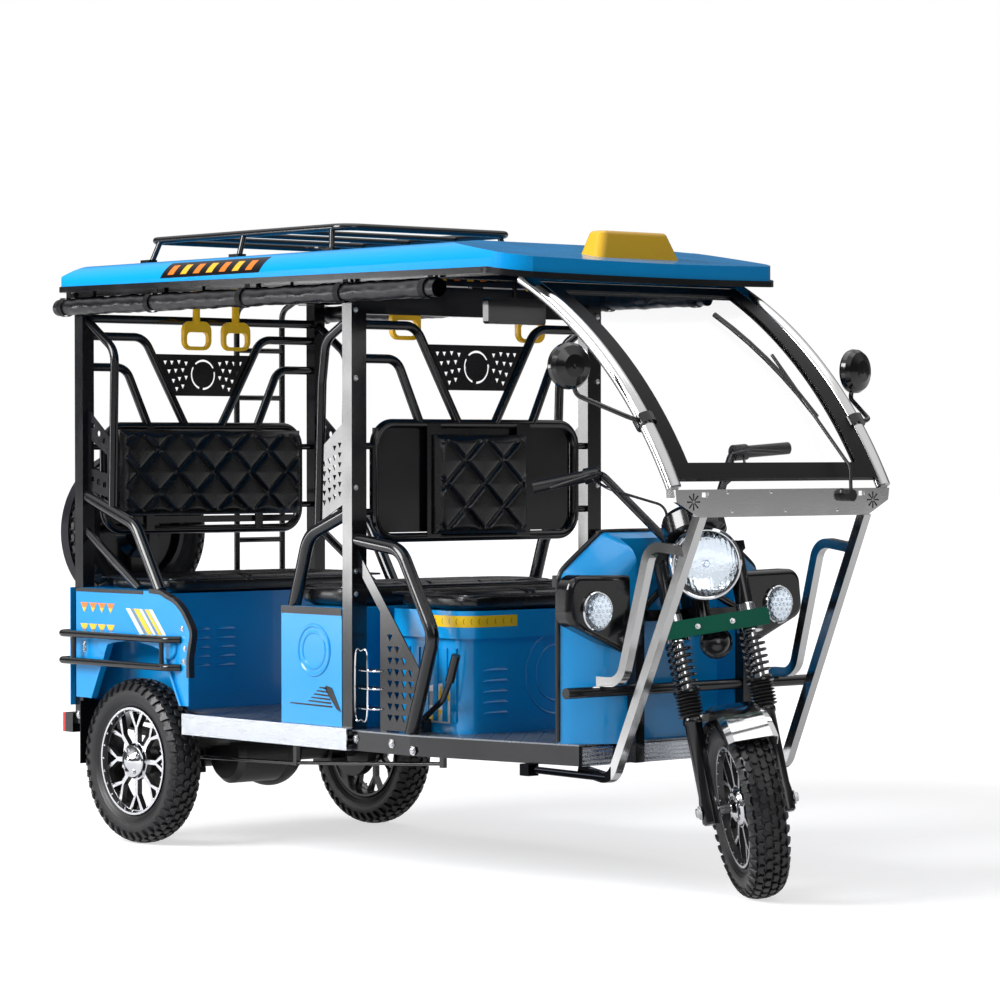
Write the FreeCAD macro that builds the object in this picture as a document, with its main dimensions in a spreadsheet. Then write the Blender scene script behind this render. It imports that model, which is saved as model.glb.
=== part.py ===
"""Battery auto rickshaw: a three-wheeled passenger vehicle on a tube frame.

Frame of the model: +X forward, +Y to the vehicle's left, +Z up, millimetres.
The ground is Z = 0 and X = 0 is midway between the front and rear extents.
The front wheel is drawn as it stands, turned to the vehicle's right.
"""
import FreeCAD
import Part
import math
import os
import re

import Sketcher

from FreeCAD import Placement, Rotation, Vector

OUTPUT = "parts"
doc = FreeCAD.newDocument("AutoRickshaw")
sheet = doc.addObject("Spreadsheet::Sheet", "Dimensions")

# Every driving dimension, in millimetres and degrees. Places along the vehicle are
# measured from the rear axle, places across it from the middle, heights from the ground.
DIMENSIONS = {
    # Wheels and tyres.
    "axle_back": 908.5,
    "tyre_radius": 235,
    "tyre_section": 95,
    "rim_radius": 153,
    "rim_width": 74,
    "rim_wall": 5,
    "rim_lip": 6,
    "rim_web": 16,
    "rim_offset": 14,
    "hub_radius": 46,
    "spoke_width": 13,
    "bead_gap": 0.3,
    "track": 842,
    # Steering head, fork and bars.
    "head_x": 2057,
    "rake": 16,
    "steer_rest": 32,
    "fork_offset": 85,
    "leg_spacing": 190,
    "leg_radius": 22,
    "stanchion_radius": 16,
    "axle_radius": 8,
    "axle_half": 127,
    "spring_radius": 33,
    "spring_pitch": 18,
    "spring_base": 528,
    "spring_top": 652,
    "lower_yoke": 690,
    "upper_yoke": 872,
    "yoke_thickness": 22,
    "steerer_radius": 15,
    "head_tube_radius": 24,
    "head_tube_clearance": 0.5,
    "handlebar_radius": 11,
    "handlebar_half": 328,
    "handlebar_height": 1147,
    "handlebar_back": 123,
    "grip_length": 118,
    "grip_radius": 16,
    "lamp_height": 831,
    "lamp_forward": 150,
    "lamp_radius": 93,
    "lamp_depth": 96,
    "pod_radius": 80,
    "pod_height": 66,
    "plate_height": 679,
    "plate_length": 282,
    "plate_width": 44,
    "plate_thickness": 3,
    "mudguard_gap": 18,
    "mudguard_thickness": 2.5,
    "mudguard_width": 122,
    # Underframe and floor.
    "body_half": "=track / 2 + 25",
    "floor_top": 380,
    "floor_plate": 4,
    "rail_depth": 50,
    "rail_width": 40,
    "inner_rail": 260,
    "rear_face": 300,
    "taper_start": 1230,
    "nose_x": 1760,
    "nose_half": 334,
    "sill_start": 252,
    "sill_wall": 3,
    "sill_depth": 58,
    "axle_tube_radius": 30,
    "motor_radius": 82,
    "motor_length": 190,
    "diff_radius": 98,
    "drum_radius": 88,
    "drum_width": 42,
    "spring_width": 50,
    "leaf_thickness": 7,
    "spring_half": 285,
    # Body side panels, boxes and seats.
    "panel_outer": "=body_half + 20",
    "panel_wall": 4,
    "panel_rear": 266,
    "panel_front": 284,
    "panel_bottom": 406,
    "panel_top": 722,
    "arch_height": 556,
    "seat_base_x": 80,
    "seat_base_top": 712,
    "cushion_top": 764,
    "cushion_overhang": 18,
    "rear_cushion_half": 388,
    "bench_x": 684,
    "boss_height": 584,
    "bench_front": 946,
    "bench_half": "=body_half - 6",
    "bench_top": 700,
    "driver_box_x": 1004,
    "driver_box_front": 1335,
    "driver_box_half": 345,
    "driver_box_top": 700,
    "band_height": 72,
    "band_step": 12,
    "cross_at": 600,
    "flap_low": 212,
    "flap_inner": 380,
    "flap_outer": "=body_half + 12",
    "rail_out": "=panel_outer + 29",
    "rail_high": 590,
    "rail_low": 512,
    "rail_tube": 20,
    "bench_cushion_half": 406,
    "sheet_wall": 3,
    "flute": 5,
    "flute_pitch": 38,
    "panel_low": 1480,
    "panel_high": 1556,
    "mirror_y": 504,
    "mirror_z": 1324,
    "mirror_x": 1919,
    "handle_width": 100,
    "handle_height": 85,
    "handle_tube": 15,
    "battery_height": 230,
    "plate_bolt_spacing": 140,
    "plate_bolt_hole": 3.5,
    "plate_bolt_y": 150,
    "plate_bolt_z": 560,
    # Upright tube frame.
    "post_x": 950,
    "post_depth": 40,
    "post_width": 50,
    "post_top": 1562,
    "tube": 32,
    "arm_tube": 36,
    "frame_tube": 25,
    "back_frame_half": 358,
    "back_frame_top": 1190,
    "back_frame_bottom": 885,
    "pad_half": 330,
    "pad_top": 1179,
    "pad_bottom": 929,
    "pad_depth": 46,
    "driver_pad_half": 165,
    "driver_pad_top": 1160,
    "driver_pad_bottom": 893,
    "bar_top": 1503,
    "bar_second": 1452,
    "bar_third": 1362,
    "crest_top": 1404,
    "crest_bottom": 1281,
    "crest_top_half": 168,
    "crest_bottom_half": 103,
    "crest_plate": 3,
    # Roof.
    "roof_rear": 362,
    "roof_half": 478,
    "roof_side_end": 1560,
    "roof_front": 1722,
    "roof_wall": 5,
    "carrier_front": 779,
    "carrier_rear": 130,
    "carrier_half": 300,
    "carrier_top": 1735,
    "carrier_tube": 20,
    "roll_radius": 28,
    "roll_y": 476,
    "roll_z": 1534,
    "roll_rear": 334,
    "roll_front": 1384,
    # Windscreen, leg shield and front guards.
    "screen_top_x": 1590,
    "screen_top_z": 1552,
    "screen_foot_x": 2140,
    "screen_foot_z": 1026,
    "screen_bow": 62,
    "screen_half": 368,
    "screen_tube": 38,
    "screen_glass": 5,
    "shield_x": 1700,
    "shield_face": 1798,
    "shield_foot": 380,
    "shield_shoulder": 806,
    "shield_peak": 912,
    "shield_nose": 862,
    "shield_wall": 4,
    "upright_half": 190,
    "upright_tube": 30,
    "bumper_z": 515,
    "bumper_half": 426,
    "guard_head_x": 2150,
    "guard_head_z": 947,
    "guard_head_y": 289,
    "guard_foot_x": 1852,
    "guard_foot_z": 296,
    "guard_foot_y": 304,
    "guard_tube": 25,
    # Rear and roof fittings.
    "spare_y": 163,
    "spare_z": 880,
    "ladder_inner": 246,
    "ladder_outer": 420,
    "ladder_tube": 18,
}

for row, (alias, value) in enumerate(DIMENSIONS.items(), start=1):
    sheet.set(f"A{row}", alias)
    sheet.set(f"B{row}", str(value))
    sheet.setAlias(f"B{row}", alias)
doc.recompute()


class Sizes:
    """The sheet's cells as plain numbers, for shapes that code works out."""

    def __getattr__(self, alias):
        return float(sheet.get(alias))


d = Sizes()
WORDS = re.compile(r"[a-z][a-z_]*")


def bound(formula):
    """A formula in the sheet's aliases, as the document writes it."""
    return WORDS.sub(lambda m: f"Dimensions.{m[0]}" if m[0] in DIMENSIONS else m[0], str(formula))


def bind(item, **formulas):
    """Tie properties of an object to formulas; Base_x becomes Placement.Base.x."""
    for name, formula in formulas.items():
        target = f"Placement.Base.{name[-1]}" if name.startswith("Base_") else name
        item.setExpression(target, bound(formula))
    return item


def block(name, low, high):
    """A box between two corners, each corner three formulas."""
    item = doc.addObject("Part::Box", name)
    sides = [f"({b}) - ({a})" for a, b in zip(low, high)]
    return bind(item, Length=sides[0], Width=sides[1], Height=sides[2],
                Base_x=low[0], Base_y=low[1], Base_z=low[2])


def number(formula):
    """The value of a formula, worked out by the sheet in a spare cell."""
    sheet.set("D1", f"={formula}")
    sheet.recompute()
    return float(sheet.get("D1"))


def fused(label, items):
    """One solid made of overlapping or touching items."""
    item = doc.addObject("Part::MultiFuse", label)
    item.Shapes = items
    item.Refine = True
    return item


def gathered(label, items):
    """Like pieces on one body that don't touch, in one sub-part."""
    item = doc.addObject("Part::Compound", label)
    item.Links = items
    return item


def cut(label, base, tools):
    """The base less the tools."""
    item = doc.addObject("Part::Cut", label)
    item.Base = base
    item.Tool = tools if not isinstance(tools, list) else gathered(label + "Tools", tools)
    return item


def shaped(label, shape):
    """A sub-part whose shape is worked out here from the sheet's values."""
    item = doc.addObject("Part::Feature", label)
    item.Shape = shape
    return item


def rounded(label, base, radius, chosen):
    """Fillet the edges of a box-like base that a test picks out."""
    doc.recompute()
    item = doc.addObject("Part::Fillet", label)
    item.Base = base
    picked = [n for n, edge in enumerate(base.Shape.Edges, start=1) if chosen(edge)]
    item.Edges = [(n, radius, radius) for n in picked]
    return item


def runs_along(axis):
    """A test for straight edges parallel to an axis."""
    def test(edge):
        ends = edge.Vertexes[-1].Point - edge.Vertexes[0].Point
        return ends.Length > 1 and abs(ends.normalize().dot(axis)) > 0.999
    return test


def route(points, bend):
    """Straight runs through points, joined by tangent arcs of one radius."""
    edges = []
    start = points[0]
    for before, here, after in zip(points, points[1:], points[2:]):
        back = (before - here).normalize()
        onward = (after - here).normalize()
        half = back.getAngle(onward) / 2
        reach = bend / math.tan(half)
        middle = here + (back + onward).normalize() * (bend / math.sin(half) - bend)
        edges.append(Part.LineSegment(start, here + back * reach).toShape())
        edges.append(Part.Arc(here + back * reach, middle, here + onward * reach).toShape())
        start = here + onward * reach
    edges.append(Part.LineSegment(start, points[-1]).toShape())
    return Part.Wire(edges)


def round_tube(points, bend, radius):
    """A round bar or tube along a route; the closed bore isn't drawn."""
    ring = Part.Wire(Part.makeCircle(radius, points[0], points[1] - points[0]))
    return route(points, bend).makePipeShell([ring], True, False)


def square_tube(points, bend, side, across):
    """A square tube along a flat route, two faces square to the direction across."""
    run = (points[1] - points[0]).normalize()
    other = run.cross(across).normalize()
    corners = [points[0] + across * (side / 2 * a) + other * (side / 2 * b)
               for a, b in ((-1, -1), (1, -1), (1, 1), (-1, 1), (-1, -1))]
    ring = Part.makePolygon(corners)
    return route(points, bend).makePipeShell([ring], True, False)


def joined(shapes):
    """Several solids fused to one shape."""
    return shapes[0].multiFuse(shapes[1:]).removeSplitter()


def apart(shapes):
    """Several solids that don't touch, in one shape."""
    return Part.makeCompound(shapes)


def mirrored(shape):
    """The same shape on the vehicle's other side."""
    return shape.mirror(Vector(0, 0, 0), Vector(0, 1, 0))


def both_sides(shape):
    """A shape and its copy on the other side."""
    return apart([shape, mirrored(shape)])


def solid_box(low, high):
    """A box between two numeric corners."""
    size = Vector(*high) - Vector(*low)
    return Part.makeBox(size.x, size.y, size.z, Vector(*low))


def slab(corners, depth):
    """A flat plate: an outline of corners pushed along a depth vector."""
    ring = Part.makePolygon(list(corners) + [corners[0]])
    return Part.Face(ring).extrude(depth)


def shape_of(label):
    """The shape of a sub-part that is already drawn."""
    return doc.getObject(label).Shape


ACROSS = Vector(0, 1, 0)
UP = Vector(0, 0, 1)
FORWARD = Vector(1, 0, 0)


def new_body(label):
    """An empty PartDesign body."""
    return doc.addObject("PartDesign::Body", label)


def plane_of(body, role):
    """One of a body's own origin planes or axes."""
    return next(f for f in body.Origin.OriginFeatures if f.Role == role)


def sketch_on(body, role, offset="0"):
    """A sketch on one of the body's own planes, a bound distance along its normal."""
    item = body.newObject("Sketcher::SketchObject", f"{body.Name}Sketch")
    item.AttachmentSupport = [(plane_of(body, role), "")]
    item.MapMode = "FlatFace"
    item.setExpression("AttachmentOffset.Base.z", bound(offset))
    return item


def arc_through(start, end, radius):
    """The short arc of a radius between two points; a negative radius bulges right."""
    middle = (start + end) / 2
    half = (end - start) / 2
    height = math.sqrt(max(radius ** 2 - half.Length ** 2, 0))
    side = Vector(-half.y, half.x, 0).normalize()
    centre = middle + side * math.copysign(height, radius)
    crown = centre - side * radius
    return Part.Arc(start, crown, end)


def outline(sketch, corners):
    """A closed ring through corners (x, y), each formula bound to the sheet.

    A corner with a third value is reached by an arc of that radius.
    """
    spots = [Vector(number(c[0]), number(c[1]), 0) for c in corners]
    first = sketch.GeometryCount
    for n, corner in enumerate(corners):
        if len(corner) > 2:
            geometry = arc_through(spots[n - 1], spots[n], number(corner[2]))
        else:
            geometry = Part.LineSegment(spots[n - 1], spots[n])
        sketch.addGeometry(geometry)
    for n, corner in enumerate(corners):
        here = first + n
        following = first + (n + 1) % len(corners)
        arc_turns_back = len(corner) > 2 and number(corner[2]) < 0
        next_turns_back = len(corners[(n + 1) % len(corners)]) > 2 and number(
            corners[(n + 1) % len(corners)][2]) < 0
        end = 1 if arc_turns_back else 2
        begin = 2 if next_turns_back else 1
        sketch.addConstraint(Sketcher.Constraint("Coincident", here, end, following, begin))
        for kind, formula, value in (("DistanceX", corner[0], spots[n].x),
                                     ("DistanceY", corner[1], spots[n].y)):
            index = sketch.addConstraint(Sketcher.Constraint(kind, -1, 1, here, end, value))
            sketch.setExpression(f"Constraints[{index}]", bound(formula))
        if len(corner) > 2:
            size = abs(number(corner[2]))
            index = sketch.addConstraint(Sketcher.Constraint("Radius", here, size))
            sketch.setExpression(f"Constraints[{index}]", bound(f"abs({corner[2]})"))
    return sketch


def revolved(body, corners, role="YZ_Plane"):
    """Turn a ring drawn in the half plane about the sketch's horizontal axis."""
    sketch = outline(sketch_on(body, role), corners)
    turn = body.newObject("PartDesign::Revolution", f"{body.Name}Turned")
    turn.Profile = sketch
    turn.ReferenceAxis = (sketch, ["H_Axis"])
    turn.Angle = 360
    return turn


def padded(body, corners, length, role="XY_Plane", offset="0", both_ways=False):
    """Push a ring straight out of its plane."""
    sketch = outline(sketch_on(body, role, offset), corners)
    push = body.newObject("PartDesign::Pad", f"{body.Name}Pad")
    push.Profile = sketch
    push.setExpression("Length", bound(length))
    push.Midplane = both_ways
    return push


def rectangle(left, low, right, high):
    """The four corners of an upright rectangle, each a formula."""
    return [(left, low), (right, low), (right, high), (left, high)]


def tyre(label):
    """A tubeless tyre about the Y axis: round crown, straight walls, beads on the rim."""
    body = new_body(label)
    half = "tyre_section / 2"
    shoulder = "tyre_radius - tyre_section / 2"
    bead = "rim_radius + bead_gap"
    revolved(body, [
        ("-(rim_width / 2 - rim_lip)", bead),
        ("rim_width / 2 - rim_lip", bead),
        ("rim_width / 2 - 2", "rim_radius + 10"),
        (half, shoulder),
        ("0", "tyre_radius", half),
        (f"-({half})", shoulder, half),
        ("-(rim_width / 2 - 2)", "rim_radius + 10"),
    ])
    return body


FORKS = 8


def wheel_disc(label, bore, hub_half):
    """An alloy wheel about the Y axis, its face towards -Y.

    The web is cut by a large window between each pair of forked spokes and a small
    one inside each fork, which leaves the spokes and the rim's ring.
    """
    body = new_body(label)
    barrel = "(rim_radius - 2 * rim_wall)"
    face = "-(rim_offset + rim_web / 2)"
    back = "-(rim_offset - rim_web / 2)"
    half = "rim_width / 2"
    lip = "rim_radius - rim_lip"
    revolved(body, [
        (f"-({hub_half})", bore),
        (hub_half, bore),
        (hub_half, "hub_radius - 8"),
        (back, "hub_radius"),
        (back, barrel),
        (half, lip),
        (half, "rim_radius"),
        (f"{half} - rim_lip", "rim_radius"),
        (f"{half} - 2 * rim_lip", lip),
        (f"-({half} - 2 * rim_lip)", lip),
        (f"-({half} - rim_lip)", "rim_radius"),
        (f"-({half})", "rim_radius"),
        (f"-({half})", lip),
        (face, barrel),
        (face, "hub_radius"),
        (f"-({hub_half})", "hub_radius - 10"),
    ])
    part_angle = 180 / FORKS
    cosine = math.cos(math.radians(part_angle))
    tangent = math.tan(math.radians(part_angle))
    branch = math.sin(math.radians(part_angle / 2))
    inner = "(hub_radius + 7)"
    fork = "(hub_radius + 44)"
    rim_line = f"({barrel} - 2)"

    def stem_edge(radius):
        return f"{radius} * {tangent:.6f} - spoke_width / 2 / {cosine:.6f}"

    def branch_edge(radius):
        return f"{radius} * {branch:.6f} - spoke_width * 0.5"

    between = [(f"-({stem_edge(inner)})", inner), (stem_edge(inner), inner),
               (stem_edge(fork), fork), (branch_edge(rim_line), rim_line),
               (f"-({branch_edge(rim_line)})", rim_line), (f"-({stem_edge(fork)})", fork)]
    inside = [("0", "hub_radius + 52"), (branch_edge(rim_line), rim_line),
              (f"-({branch_edge(rim_line)})", rim_line)]
    doc.recompute()
    for name, ring, turn in (("Window", between, part_angle), ("ForkWindow", inside, 0)):
        sketch = outline(sketch_on(body, "XZ_Plane"), ring)
        sketch.AttachmentOffset.Rotation = Rotation(UP, turn)
        pocket = body.newObject("PartDesign::Pocket", f"{body.Name}{name}")
        pocket.Profile = sketch
        pocket.Type = "ThroughAll"
        pocket.Midplane = True
        doc.recompute()
        ring_of = body.newObject("PartDesign::PolarPattern", f"{body.Name}{name}Ring")
        ring_of.Originals = [pocket]
        ring_of.Axis = (plane_of(body, "Y_Axis"), [""])
        ring_of.Angle = 360
        ring_of.Occurrences = FORKS
        body.Tip = ring_of
        doc.recompute()
    return body


def steering_frame():
    """The steering axis as a frame: its Z runs up the axis, its X points along the wheel."""
    tilt = Rotation(ACROSS, -d.rake)
    return Placement(Vector(d.head_x, 0, 0), tilt.multiply(Rotation(UP, -d.steer_rest)))


def front_axle_height():
    """How far up the steering axis the front axle lies, so that the leaning tyre stands
    on the ground as the turned wheel rests."""
    rake = math.radians(d.rake)
    steer = math.radians(d.steer_rest)
    lean = math.asin(math.sin(rake) * math.sin(steer))
    crown = d.tyre_section / 2
    centre = (d.tyre_radius - crown) * math.cos(lean) + crown
    return (centre - d.fork_offset * math.sin(rake) * math.cos(steer)) / math.cos(rake)


STEER = steering_frame()
AXLE_UP = front_axle_height()
WHEEL_SPOT = STEER.multiply(Placement(Vector(d.fork_offset, 0, AXLE_UP), Rotation()))


def on_steering(shape):
    """Move a shape drawn in the steering frame to its place."""
    shape.Placement = STEER.multiply(shape.Placement)
    return shape


def cylinder(radius, start, end):
    """A round bar between two points."""
    return Part.makeCylinder(radius, (end - start).Length, start, end - start)


def ring_profile(points, axis_at, axis):
    """A ring of numeric (radius, height) points turned about an axis."""
    frame = Placement(axis_at, Rotation(UP, axis))
    corners = [Vector(r, 0, z) for r, z in points]
    face = Part.Face(Part.makePolygon(corners + [corners[0]]))
    turned = face.revolve(Vector(), UP, 360)
    turned.Placement = frame
    return turned


def front_wheel():
    """The steered wheel: its tyre and its alloy disc."""
    for body in (tyre("front_tyre"), wheel_disc("front_rim", "axle_radius + 1", "34")):
        body.Placement = WHEEL_SPOT
    return ["front_tyre", "front_rim"]


def rear_wheels():
    """The two driven wheels, faces outwards."""
    names = []
    for side, sign, turn in (("right", -1, 0), ("left", 1, 180)):
        for body in (tyre(f"rear_tyre_{side}"), wheel_disc(f"rear_rim_{side}", "18.5", "34")):
            body.Placement = Placement(Vector(0, 0, 0), Rotation(UP, turn))
            bind(body, Base_y=f"{sign} * track / 2", Base_z="tyre_radius")
            names.append(body.Label)
    return names


def fork():
    """The telescopic fork: sliders, stanchions, yokes, steerer and axle.

    The coil springs over the stanchions are drawn as rings seated on them.
    """
    out = d.fork_offset
    half = d.leg_spacing / 2
    shapes = []
    for sign in (-1, 1):
        foot = Vector(out, sign * half, AXLE_UP - 34)
        slider = [(0, 0), (d.leg_radius + 3, 0), (d.leg_radius + 3, 60), (d.leg_radius, 90),
                  (d.leg_radius, d.spring_base - foot.z - 44),
                  (d.spring_radius + 2, d.spring_base - foot.z - 24),
                  (d.spring_radius + 2, d.spring_base - foot.z), (0, d.spring_base - foot.z)]
        shapes.append(ring_profile(slider, foot, UP))
        top = Vector(out, sign * half, d.upper_yoke + d.yoke_thickness / 2)
        shapes.append(cylinder(d.stanchion_radius, Vector(out, sign * half, d.spring_base), top))
        shapes.append(coil(Vector(out, sign * half, d.spring_base)))
        ear = solid_box((out, sign * half - 3, d.lamp_height - 30),
                        (d.lamp_forward - 8, sign * half + 3, d.lamp_height + 26))
        shapes.append(ear)
    for height in (d.lower_yoke, d.upper_yoke):
        shapes.append(yoke(height))
    shapes.append(cylinder(d.steerer_radius, Vector(0, 0, d.lower_yoke),
                           Vector(0, 0, d.upper_yoke + 24)))
    shapes.append(cylinder(d.axle_radius, Vector(out, -d.axle_half, AXLE_UP),
                           Vector(out, d.axle_half, AXLE_UP)))
    plate_post = solid_box((out + 20, -20, d.plate_height - 10),
                           (d.lamp_forward - 22, 20, d.plate_height + 10))
    shapes.append(plate_post)
    bowl = shape_of("headlamp").transformed(STEER.inverse().toMatrix())
    return shaped("fork", on_steering(joined(shapes).cut(bowl)))


def coil(at):
    """Rings of spring wire one above another, tied by the stanchion inside them."""
    reach = d.spring_top - d.spring_base
    turns = int(reach / d.spring_pitch)
    inner = d.stanchion_radius - 1
    corners = [(0, 0), (inner, 0)]
    for n in range(turns):
        low = n * d.spring_pitch
        corners += [(inner, low + 1), (d.spring_radius, low + 5),
                    (d.spring_radius, low + 9), (inner, low + 13)]
    corners += [(inner, reach), (0, reach)]
    return ring_profile(corners, at, UP)


def yoke(height):
    """A fork yoke: clamps round both stanchions joined by a web to the steerer."""
    half = d.leg_spacing / 2
    low = height - d.yoke_thickness / 2
    web = slab([Vector(-26, -24, low), Vector(-26, 24, low), Vector(d.fork_offset + 24, half + 4, low),
                Vector(d.fork_offset + 24, -half - 4, low)], Vector(0, 0, d.yoke_thickness))
    clamps = [Part.makeCylinder(27, d.yoke_thickness, Vector(d.fork_offset, s * half, low))
              for s in (-1, 1)]
    boss = Part.makeCylinder(28, d.yoke_thickness, Vector(0, 0, low))
    return joined([web, boss] + clamps)


def handlebar():
    """The raised handlebar and the clamp that holds it on the upper yoke."""
    base = d.upper_yoke + d.yoke_thickness / 2
    middle = Vector(16, 0, base + 30)
    half = [Vector(16, 46, base + 30), Vector(-62, 176, d.handlebar_height - 4),
            Vector(-d.handlebar_back, d.handlebar_half, d.handlebar_height)]
    other = [Vector(p.x, -p.y, p.z) for p in reversed(half)]
    bar = round_tube(other + half, 38, d.handlebar_radius)
    risers = [Part.makeCylinder(13, 40, Vector(16, s * 24, base)) for s in (-1, 1)]
    return shaped("handlebar", on_steering(joined([bar] + risers)))


def hand_controls():
    """Grips with their end caps, brake levers and switch boxes, clamped on the bar."""
    end = Vector(-d.handlebar_back, d.handlebar_half, d.handlebar_height)
    knee = Vector(-62, 176, d.handlebar_height - 4)
    along = (end - knee).normalize()
    inner = end - along * d.grip_length
    grip = cylinder(d.grip_radius, inner, end + along * 14)
    switch_start = inner - along * 44
    switch = cylinder(21, switch_start, inner - along * 4)
    neck = cylinder(15, inner - along * 5, inner)
    lever_root = switch_start + Vector(30, 0, -6)
    lever = round_tube([switch_start + Vector(12, 0, -4), lever_root + along * 24 + Vector(24, 0, -2),
                        lever_root + along * 142 + Vector(16, 0, -14)], 18, 5)
    bore = cylinder(d.handlebar_radius + 0.2, switch_start - along * 5, end)
    one = joined([grip, switch, neck, lever]).cut(bore)
    return shaped("hand_controls", on_steering(both_sides(one)).cut(shape_of("handlebar")))


def headlamp():
    """The round lamp's bowl with its rim, lens and the instrument drum above it."""
    level = Vector(math.cos(math.radians(d.rake)), 0, -math.sin(math.radians(d.rake)))
    centre = Vector(d.lamp_forward, 0, d.lamp_height)
    bowl = [(0, -d.lamp_depth), (38, -d.lamp_depth), (74, -62), (d.lamp_radius - 13, -12),
            (d.lamp_radius, -10), (d.lamp_radius, 10), (d.lamp_radius - 6, 14), (d.lamp_radius - 9, 14),
            (d.lamp_radius - 11, 2), (0, 2)]
    nacelle = joined([ring_profile(bowl, centre, level), instrument_drum()])
    return shaped("headlamp", on_steering(nacelle))


def headlamp_lens():
    """The domed glass of the headlamp, inside its rim."""
    level = Vector(math.cos(math.radians(d.rake)), 0, -math.sin(math.radians(d.rake)))
    centre = Vector(d.lamp_forward, 0, d.lamp_height)
    edge = d.lamp_radius - 11.5
    face = [(0, 2.3), (edge, 2.3), (edge, 12), (edge * 0.8, 18), (edge * 0.5, 23), (0, 26)]
    return shaped("headlamp_lens", on_steering(ring_profile(face, centre, level)))


def instrument_drum():
    """The drum that holds the speedometer, tilted back towards the driver."""
    base = Vector(d.fork_offset + 32, 0, d.upper_yoke + d.yoke_thickness / 2 + 20)
    axis = Vector(-0.26, 0, 1).normalize()
    drum = [(0, 0), (d.pod_radius * 0.8, 0), (d.pod_radius, 10), (d.pod_radius, d.pod_height - 12),
            (d.pod_radius - 6, d.pod_height), (0, d.pod_height)]
    foot = cylinder(14, Vector(base.x, 0, d.upper_yoke + d.yoke_thickness / 2), base + axis * 8)
    return joined([ring_profile(drum, base, axis), foot])


def front_mudguard():
    """A pressed mudguard over the front tyre, with stays to the fork legs."""
    inner = d.tyre_radius + d.mudguard_gap
    outer = inner + d.mudguard_thickness
    half = d.mudguard_width / 2
    drop = 34
    section = [(inner - drop, -half), (inner - 6, -half), (inner, -half + 14), (inner, half - 14),
               (inner - 6, half), (inner - drop, half), (inner - drop, half + 2.5),
               (inner - 5, half + 2.5), (outer, half - 13), (outer, -half + 13),
               (inner - 5, -half - 2.5), (inner - drop, -half - 2.5)]
    corners = [Vector(0, y, r) for r, y in section]
    face = Part.Face(Part.makePolygon(corners + [corners[0]]))
    face.rotate(Vector(), ACROSS, -48)
    guard = face.revolve(Vector(), ACROSS, 106)
    guard.translate(Vector(d.fork_offset, 0, AXLE_UP))
    stays = []
    for sign in (-1, 1):
        inside = d.leg_spacing / 2 - d.leg_radius
        low = min(half + 1, inside - 1) * sign
        high = (inside + 3) * sign
        stays.append(solid_box((d.fork_offset - 12, min(low, high), AXLE_UP + inner - 30),
                               (d.fork_offset + 12, max(low, high), AXLE_UP + inner - 12)))
    leg_room = [Part.makeCylinder(d.leg_radius + 0.3, 400,
                                  Vector(d.fork_offset, s * d.leg_spacing / 2, AXLE_UP)) for s in (-1, 1)]
    return shaped("front_mudguard", on_steering(joined([guard] + stays).cut(apart(leg_room))))


def number_plate():
    """The blank plate with round ends, bolted in front of the lower yoke."""
    front = d.lamp_forward - 21.7
    half_long = d.plate_length / 2
    half_high = d.plate_width / 2
    sheet_metal = solid_box((front, -half_long, d.plate_height - half_high),
                            (front + d.plate_thickness, half_long, d.plate_height + half_high))
    edges = [e for e in sheet_metal.Edges if runs_along(FORWARD)(e)]
    return shaped("number_plate", on_steering(sheet_metal.makeFillet(9, edges)))


def chassis_frame():
    """The ladder underframe: inner and outer rails, cross-members and tapered nose."""
    low = "floor_top - floor_plate - rail_depth"
    high = "floor_top - floor_plate"
    bars = []
    for n, sign in ((1, 1), (2, -1)):
        inner = ["inner_rail - rail_width / 2", "inner_rail + rail_width / 2"]
        outer = ["body_half - rail_width", "body_half"]
        if sign < 0:
            inner = [f"-({inner[1]})", f"-({inner[0]})"]
            outer = [f"-({outer[1]})", f"-({outer[0]})"]
        bars.append(block(f"InnerRail{n}", ("-rear_face", inner[0], low), ("nose_x", inner[1], high)))
        bars.append(block(f"OuterRail{n}", ("sill_start", outer[0], low), ("taper_start", outer[1], high)))
    places = (("Rear", "-rear_face", "body_half"), ("Seat", "sill_start", "body_half"),
              ("Foot", "cross_at", "body_half"), ("Post", "post_x", "body_half"),
              ("Driver", "taper_start - rail_width", "body_half"),
              ("Nose", "nose_x - rail_width", "nose_half"))
    for name, at, half in places:
        bars.append(block(f"{name}Cross", (at, f"-({half})", low), (f"{at} + rail_width", half, high)))
    z = d.floor_top - d.floor_plate - d.rail_depth
    taper = slab([Vector(d.taper_start, d.body_half, z), Vector(d.taper_start, d.body_half - d.rail_width, z),
                  Vector(d.nose_x, d.nose_half - d.rail_width, z), Vector(d.nose_x, d.nose_half, z)],
                 Vector(0, 0, d.rail_depth))
    bars.append(shaped("TaperRails", both_sides(taper)))
    return fused("chassis_frame", bars)


def floor_plate():
    """The chequered floor, wide at the sills and tapered towards the nose."""
    z = d.floor_top - d.floor_plate
    narrow = d.body_half - 84
    half = [(-d.rear_face, narrow), (d.sill_start, narrow), (d.sill_start, d.body_half),
            (d.taper_start, d.body_half), (d.nose_x, d.nose_half)]
    ring = [Vector(x, -y, z) for x, y in half] + [Vector(x, y, z) for x, y in reversed(half)]
    plate = slab(ring, Vector(0, 0, d.floor_plate))
    post_y = d.body_half - d.post_width / 2
    posts = [solid_box((d.post_x, s * post_y - 25, z - 1), (d.post_x + d.post_depth, s * post_y + 25, z + 9))
             for s in (-1, 1)]
    return shaped("floor_plate", plate.cut(apart(posts)))


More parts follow.
